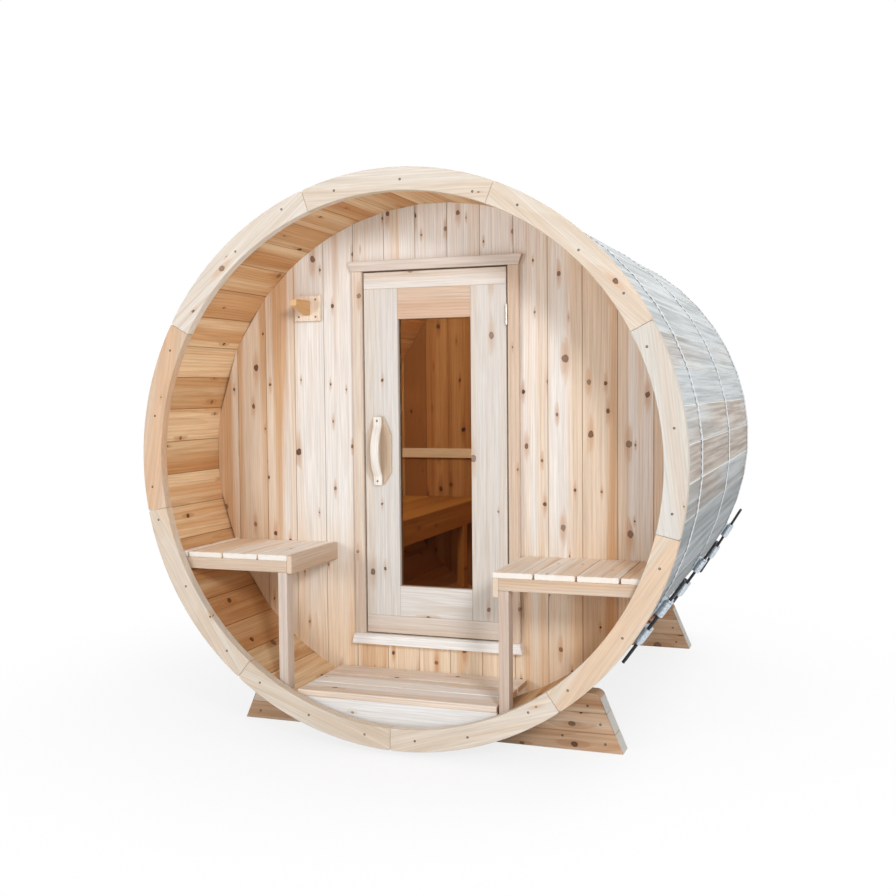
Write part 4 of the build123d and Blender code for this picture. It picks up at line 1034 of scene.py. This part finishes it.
arm_section = [(-0.014, 0), (0.014, 0), (0.014, 0.02), (-0.014, 0.02)]
arm = plank(arm_section, 0, 0.115, notched, corner=0.002, easing=0.0025,
            middle=(0.2, 0.4, 0.6, 0.618, 0.65, 0.678, 0.72, 0.78, 0.804, 0.813, 0.87, 0.93), tone=0.5)
piece("hook_bracket_arm", [arm], hook_arm_wood, "hook_wood", "shell", "hook_arm")
screw_heads("hook_screws", [(HOOK_X + x, FRONT_Y + HOOK_PLATE_FRONT, AXIS_Z + HOOK_Z + z)
                            for x in (-0.036, 0.036) for z in (-0.033, 0.033)],
            "hook_wood", "shell", radius=0.004)

# Room. A slatted bench with a deep front rail runs along the left side, on legs and bearers scribed to the
# staves, and a pale rail crosses the back wall.
ROOM_FRONT, ROOM_BACK = 0.470, 2.196
SEAT_TOP, SEAT_SLAT, SEAT_EDGE = -0.330, 0.028, -0.400
seat_wood = cedar("room bench cedar", (206, 158, 86), (192, 142, 74), (170, 118, 58), knots=0.3,
                  knot_radius=0.009,
                  ring_depth=0.35, tone=0.5)
pale_rail_wood = cedar("pale rail wood", (254, 251, 240), (252, 247, 232), (248, 238, 216), knots=0.1,
                       ring_depth=0.2, tone=0.2)
seat_foot = SEAT_TOP - SEAT_SLAT
rail_foot = seat_foot - 0.090
leg_places = (ROOM_FRONT + 0.240, ROOM_BACK - 0.300)
seat = [bar((SEAT_EDGE - number * 0.150 - 0.140, ROOM_FRONT, seat_foot),
            (SEAT_EDGE - number * 0.150, ROOM_BACK, SEAT_TOP), "YXZ",
            corner=0.004) for number in range(3)]
piece("room_bench_slats", seat, seat_wood, "inner_wood", "shell", "inner_bench_slats")
piece("room_bench_rail", [bar((SEAT_EDGE - 0.038, ROOM_FRONT, rail_foot), (SEAT_EDGE, ROOM_BACK, seat_foot),
                              "YZX", tone=0.7)],
      seat_wood, "inner_wood", "shell", "inner_bench_rail")
bearers = [bar((-0.7, place, seat_foot - 0.060), (SEAT_EDGE - 0.038, place + 0.060, seat_foot), "XYZ",
               start=lambda across, through: -hull_x(through)) for place in leg_places]
piece("room_bench_bearers", bearers, seat_wood, "inner_wood", "shell", "inner_bench_bearers")
legs = [bar((SEAT_EDGE - 0.038, place, -0.8), (SEAT_EDGE, place + 0.060, rail_foot), "ZXY",
            start=lambda across, through: -hull_x(across)) for place in leg_places]
piece("room_bench_legs", legs, seat_wood, "inner_wood", "shell", "inner_bench_legs")
piece("back_wall_rail", [bar((-0.880, 2.178, -0.120), (0.880, 2.198, -0.070), "XZY", tone=0.3)],
      pale_rail_wood,
      "inner_wood", "shell", "back_rail")

# Cradles. Rough planks are laid flat on each other, screwed together and bandsawn to the barrel's curve, with
# sloping ends that have weathered pale grey.
SEAT_RADIUS = 0.97739
CRADLE_HALF, CRADLE_TOP_HALF, CRADLE_HEIGHT = 0.73586, 0.64786, 0.206
CRADLE_DEPTH, SHOULDER = 0.076, 0.028
CRADLE_JOINTS = (0.0, 0.066, 0.136, CRADLE_HEIGHT)
cradle_wood = cedar("cradle cedar", (219, 195, 170), (203, 166, 133), (182, 136, 98), knot=(74, 44, 28),
                    knots=0.8,
                    knot_radius=0.014, ring_depth=0.46, tone=1.2, end=(201, 200, 195), edge=0.75)
end_lean = (CRADLE_HALF - CRADLE_TOP_HALF) / CRADLE_HEIGHT
shoulder_z = CRADLE_HEIGHT - SHOULDER
shoulder_x = CRADLE_HALF - end_lean * shoulder_z - SHOULDER * math.hypot(1, end_lean)
shoulder_end = shoulder_z + SHOULDER * math.sin(math.atan(end_lean))


def cradle_top(x, joint):
    """Height of a layer's upper face: the joint above it, cut down by the barrel's circle and by the
    shoulder's arc."""
    circle = AXIS_Z - np.sqrt(SEAT_RADIUS**2 - np.square(x))
    past = np.clip(np.abs(x) - shoulder_x, 0, SHOULDER)
    return np.minimum(np.minimum(circle, joint), shoulder_z + np.sqrt(SHOULDER**2 - past**2))


def cradle_planks(depth):
    """Layers laid on each other. The lowest is whole and the others are cut in two by the barrel; each one's
    section runs from its lower joint (share 0) to its upper face (share 1), and its outer end slopes."""
    planks = []
    for low, high, tone in zip(CRADLE_JOINTS[:-1], CRADLE_JOINTS[1:], (0.5, 0.25, 0.75)):
        foot_x = CRADLE_HALF - end_lean * low
        head_x = CRADLE_HALF - end_lean * min(high, shoulder_end)
        tip = AXIS_Z - low - 0.003
        inner = math.sqrt(SEAT_RADIUS**2 - tip**2) if tip < SEAT_RADIUS else -foot_x
        for side in ((1,) if inner < 0 else (-1, 1)):

            def outer_end(across, through, foot_x=foot_x, head_x=head_x, side=side):
                return side * (foot_x + (head_x - foot_x) * through / CRADLE_DEPTH)

            def other_end(across, through, inner=inner, side=side):
                return -outer_end(across, through) if inner < 0 else np.full(len(across), side * inner)

            def laid(local, low=low, high=high):
                along, across, share = local.T
                height = low + share / CRADLE_DEPTH * (cradle_top(along, high) - low)
                return np.stack([along, FRONT_Y + depth + across, height], axis=1)

            section = [(0, 0), (CRADLE_DEPTH, 0), (CRADLE_DEPTH, CRADLE_DEPTH), (0, CRADLE_DEPTH)]
            shares = np.unique(np.concatenate([np.linspace(0.006, 0.994, 55), np.linspace(0.80, 0.996, 25),
                                               np.linspace(0.004, 0.20, 25)]))
            ends = (other_end, outer_end) if side > 0 else (outer_end, other_end)
            planks.append(plank(section, *ends, laid, corner=0.0022, easing=0.003, middle=shares, tone=tone,
                                grain=lambda points: (
                                    points @ np.array([X, Z, Y]).T - [0, (low + high) / 2, 0])))
    return planks


for label, depth in (("front", 0.270), ("rear", 1.930)):
    piece(f"{label}_cradle_planks", cradle_planks(depth), cradle_wood, "cradle_wood", "shell",
          f"cradle_{label}")
    spots = [(side * x, FRONT_Y + depth, z) for side in (-1, 1)
             for x, z in ((0.672, 0.030), (0.655, 0.098), (0.610, 0.160), (0.520, 0.048))]
    screw_heads(f"{label}_cradle_screws", spots, "cradle_wood", "shell", radius=0.0045)

# Stage. A white studio floor that keeps a faint shadow, an even white surround, one softbox on each side of
# the camera (the left one kept out of the pane's reflections), a high fill over the right side, a weak one
# from behind, and a small lamp in the room for what the pane shows.
floor_mesh = bpy.data.meshes.new("studio_floor")
floor_mesh.from_pydata([(-30, -30, -0.001), (30, -30, -0.001), (30, 30, -0.001), (-30, 30, -0.001)], [],
                       [(0, 1, 2, 3)])
floor = bpy.data.objects.new("studio_floor", floor_mesh)
bpy.context.scene.collection.objects.link(floor)
floor_white = bpy.data.materials.new("studio white")
floor_white.use_nodes = True
t = floor_white.node_tree
t.nodes["Principled BSDF"].inputs["Base Color"].default_value = (0.92, 0.92, 0.92, 1)
t.nodes["Principled BSDF"].inputs["Roughness"].default_value = 0.9
t.nodes["Principled BSDF"].inputs["Specular IOR Level"].default_value = 0.0


def seen_rays(tree):
    """1 for rays from the camera, in reflections and through glass, 0 for light that falls on the object."""
    rays = shader_node(tree, "ShaderNodeLightPath", {}).outputs
    seen = calc(tree, "MAXIMUM", rays["Is Camera Ray"], rays["Is Glossy Ray"])
    return calc(tree, "MAXIMUM", seen, rays["Is Transmission Ray"])


glow = shader_node(t, "ShaderNodeEmission", {"Color": (1, 1, 1, 1), "Strength": 1.0}).outputs[0]
place = shader_node(t, "ShaderNodeTexCoord", {}).outputs["Object"]
away = shader_node(t, "ShaderNodeVectorMath", {0: place}, operation="LENGTH").outputs["Value"]
share = calc(t, "MULTIPLY", seen_rays(t), soft_step(t, away, 0.8, 2.6, 0.80, 1.0))
both = shader_node(t, "ShaderNodeMixShader", {0: share, 1: t.nodes["Principled BSDF"].outputs[0], 2: glow})
t.links.new(both.outputs[0], t.nodes["Material Output"].inputs["Surface"])
floor_mesh.materials.append(floor_white)

world = bpy.data.worlds.new("studio surround")
bpy.context.scene.world = world
world.use_nodes = True
t = world.node_tree
t.nodes["Background"].inputs["Color"].default_value = (1, 1, 1, 1)
t.links.new(soft_step(t, seen_rays(t), 0.0, 1.0, 0.50, 1.0), t.nodes["Background"].inputs["Strength"])


def soft_lamp(name, place, target, size, power, colour=(1, 1, 1)):
    """A square area lamp at a place, facing a target."""
    data = bpy.data.lights.new(name, "AREA")
    data.shape = "RECTANGLE"
    data.size, data.size_y = size
    data.energy = power
    data.color = colour
    lamp = bpy.data.objects.new(name, data)
    bpy.context.scene.collection.objects.link(lamp)
    away = np.asarray(place, float) - np.asarray(target, float)
    away /= np.linalg.norm(away)
    side = np.cross(Z, away)
    side /= np.linalg.norm(side)
    facing = np.column_stack([side, np.cross(away, side), away])
    lamp.matrix_world = Matrix.LocRotScale(place, Matrix(facing.tolist()).to_quaternion(), None)
    lamp.visible_camera = lamp.visible_transmission = False
    return lamp


DAYLIGHT = (0.97, 1.0, 1.05)
soft_lamp("right_softbox", (3.2, -5.4, 2.85), (0, -0.7, 1.1), (0.9, 0.9), 126, DAYLIGHT)
soft_lamp("left_softbox", (-2.65, -5.9, 1.6), (0, -0.7, 1.1), (1.0, 1.0), 70, DAYLIGHT).visible_glossy = False
soft_lamp("side_fill", (2.6, 1.2, 6.5), (0.9, 0, 1.0), (3.0, 2.5), 170)
soft_lamp("rear_fill", (-3.0, 6.5, 3.6), (0, 0, 1.0), (4.0, 3.0), 90)
soft_lamp("room_lamp", (-0.10, -0.25, 1.70), (-0.35, 1.05, 1.20), (0.4, 0.4), 19, (1.0, 0.98, 0.94))

# Camera. Solved from the ring, the walls and the cradles in the photograph: a little above the barrel's axis,
# to the right of the porch, with the picture 896 pixels square.
camera_data = bpy.data.cameras.new("porch_camera")
camera_data.sensor_width = 36.0
camera_data.lens = 1125.07 / 896 * 36.0
camera = bpy.data.objects.new("porch_camera", camera_data)
bpy.context.scene.collection.objects.link(camera)
yaw, pitch, roll = np.radians([19.787, 2.957, 0.517])
ahead = np.array([-math.sin(yaw) * math.cos(pitch), math.cos(yaw) * math.cos(pitch), -math.sin(pitch)])
level = np.array([math.cos(yaw), math.sin(yaw), 0])
down = np.cross(ahead, level)
rightward = math.cos(roll) * level + math.sin(roll) * down
upward = math.sin(roll) * level - math.cos(roll) * down
camera.matrix_world = Matrix.LocRotScale(
    (1.4645, -4.6495, 1.2574), Matrix(np.column_stack([rightward, upward, -ahead]).tolist()).to_quaternion(),
    None
)
bpy.context.scene.camera = camera
bpy.context.scene.view_settings.view_transform = "Standard"
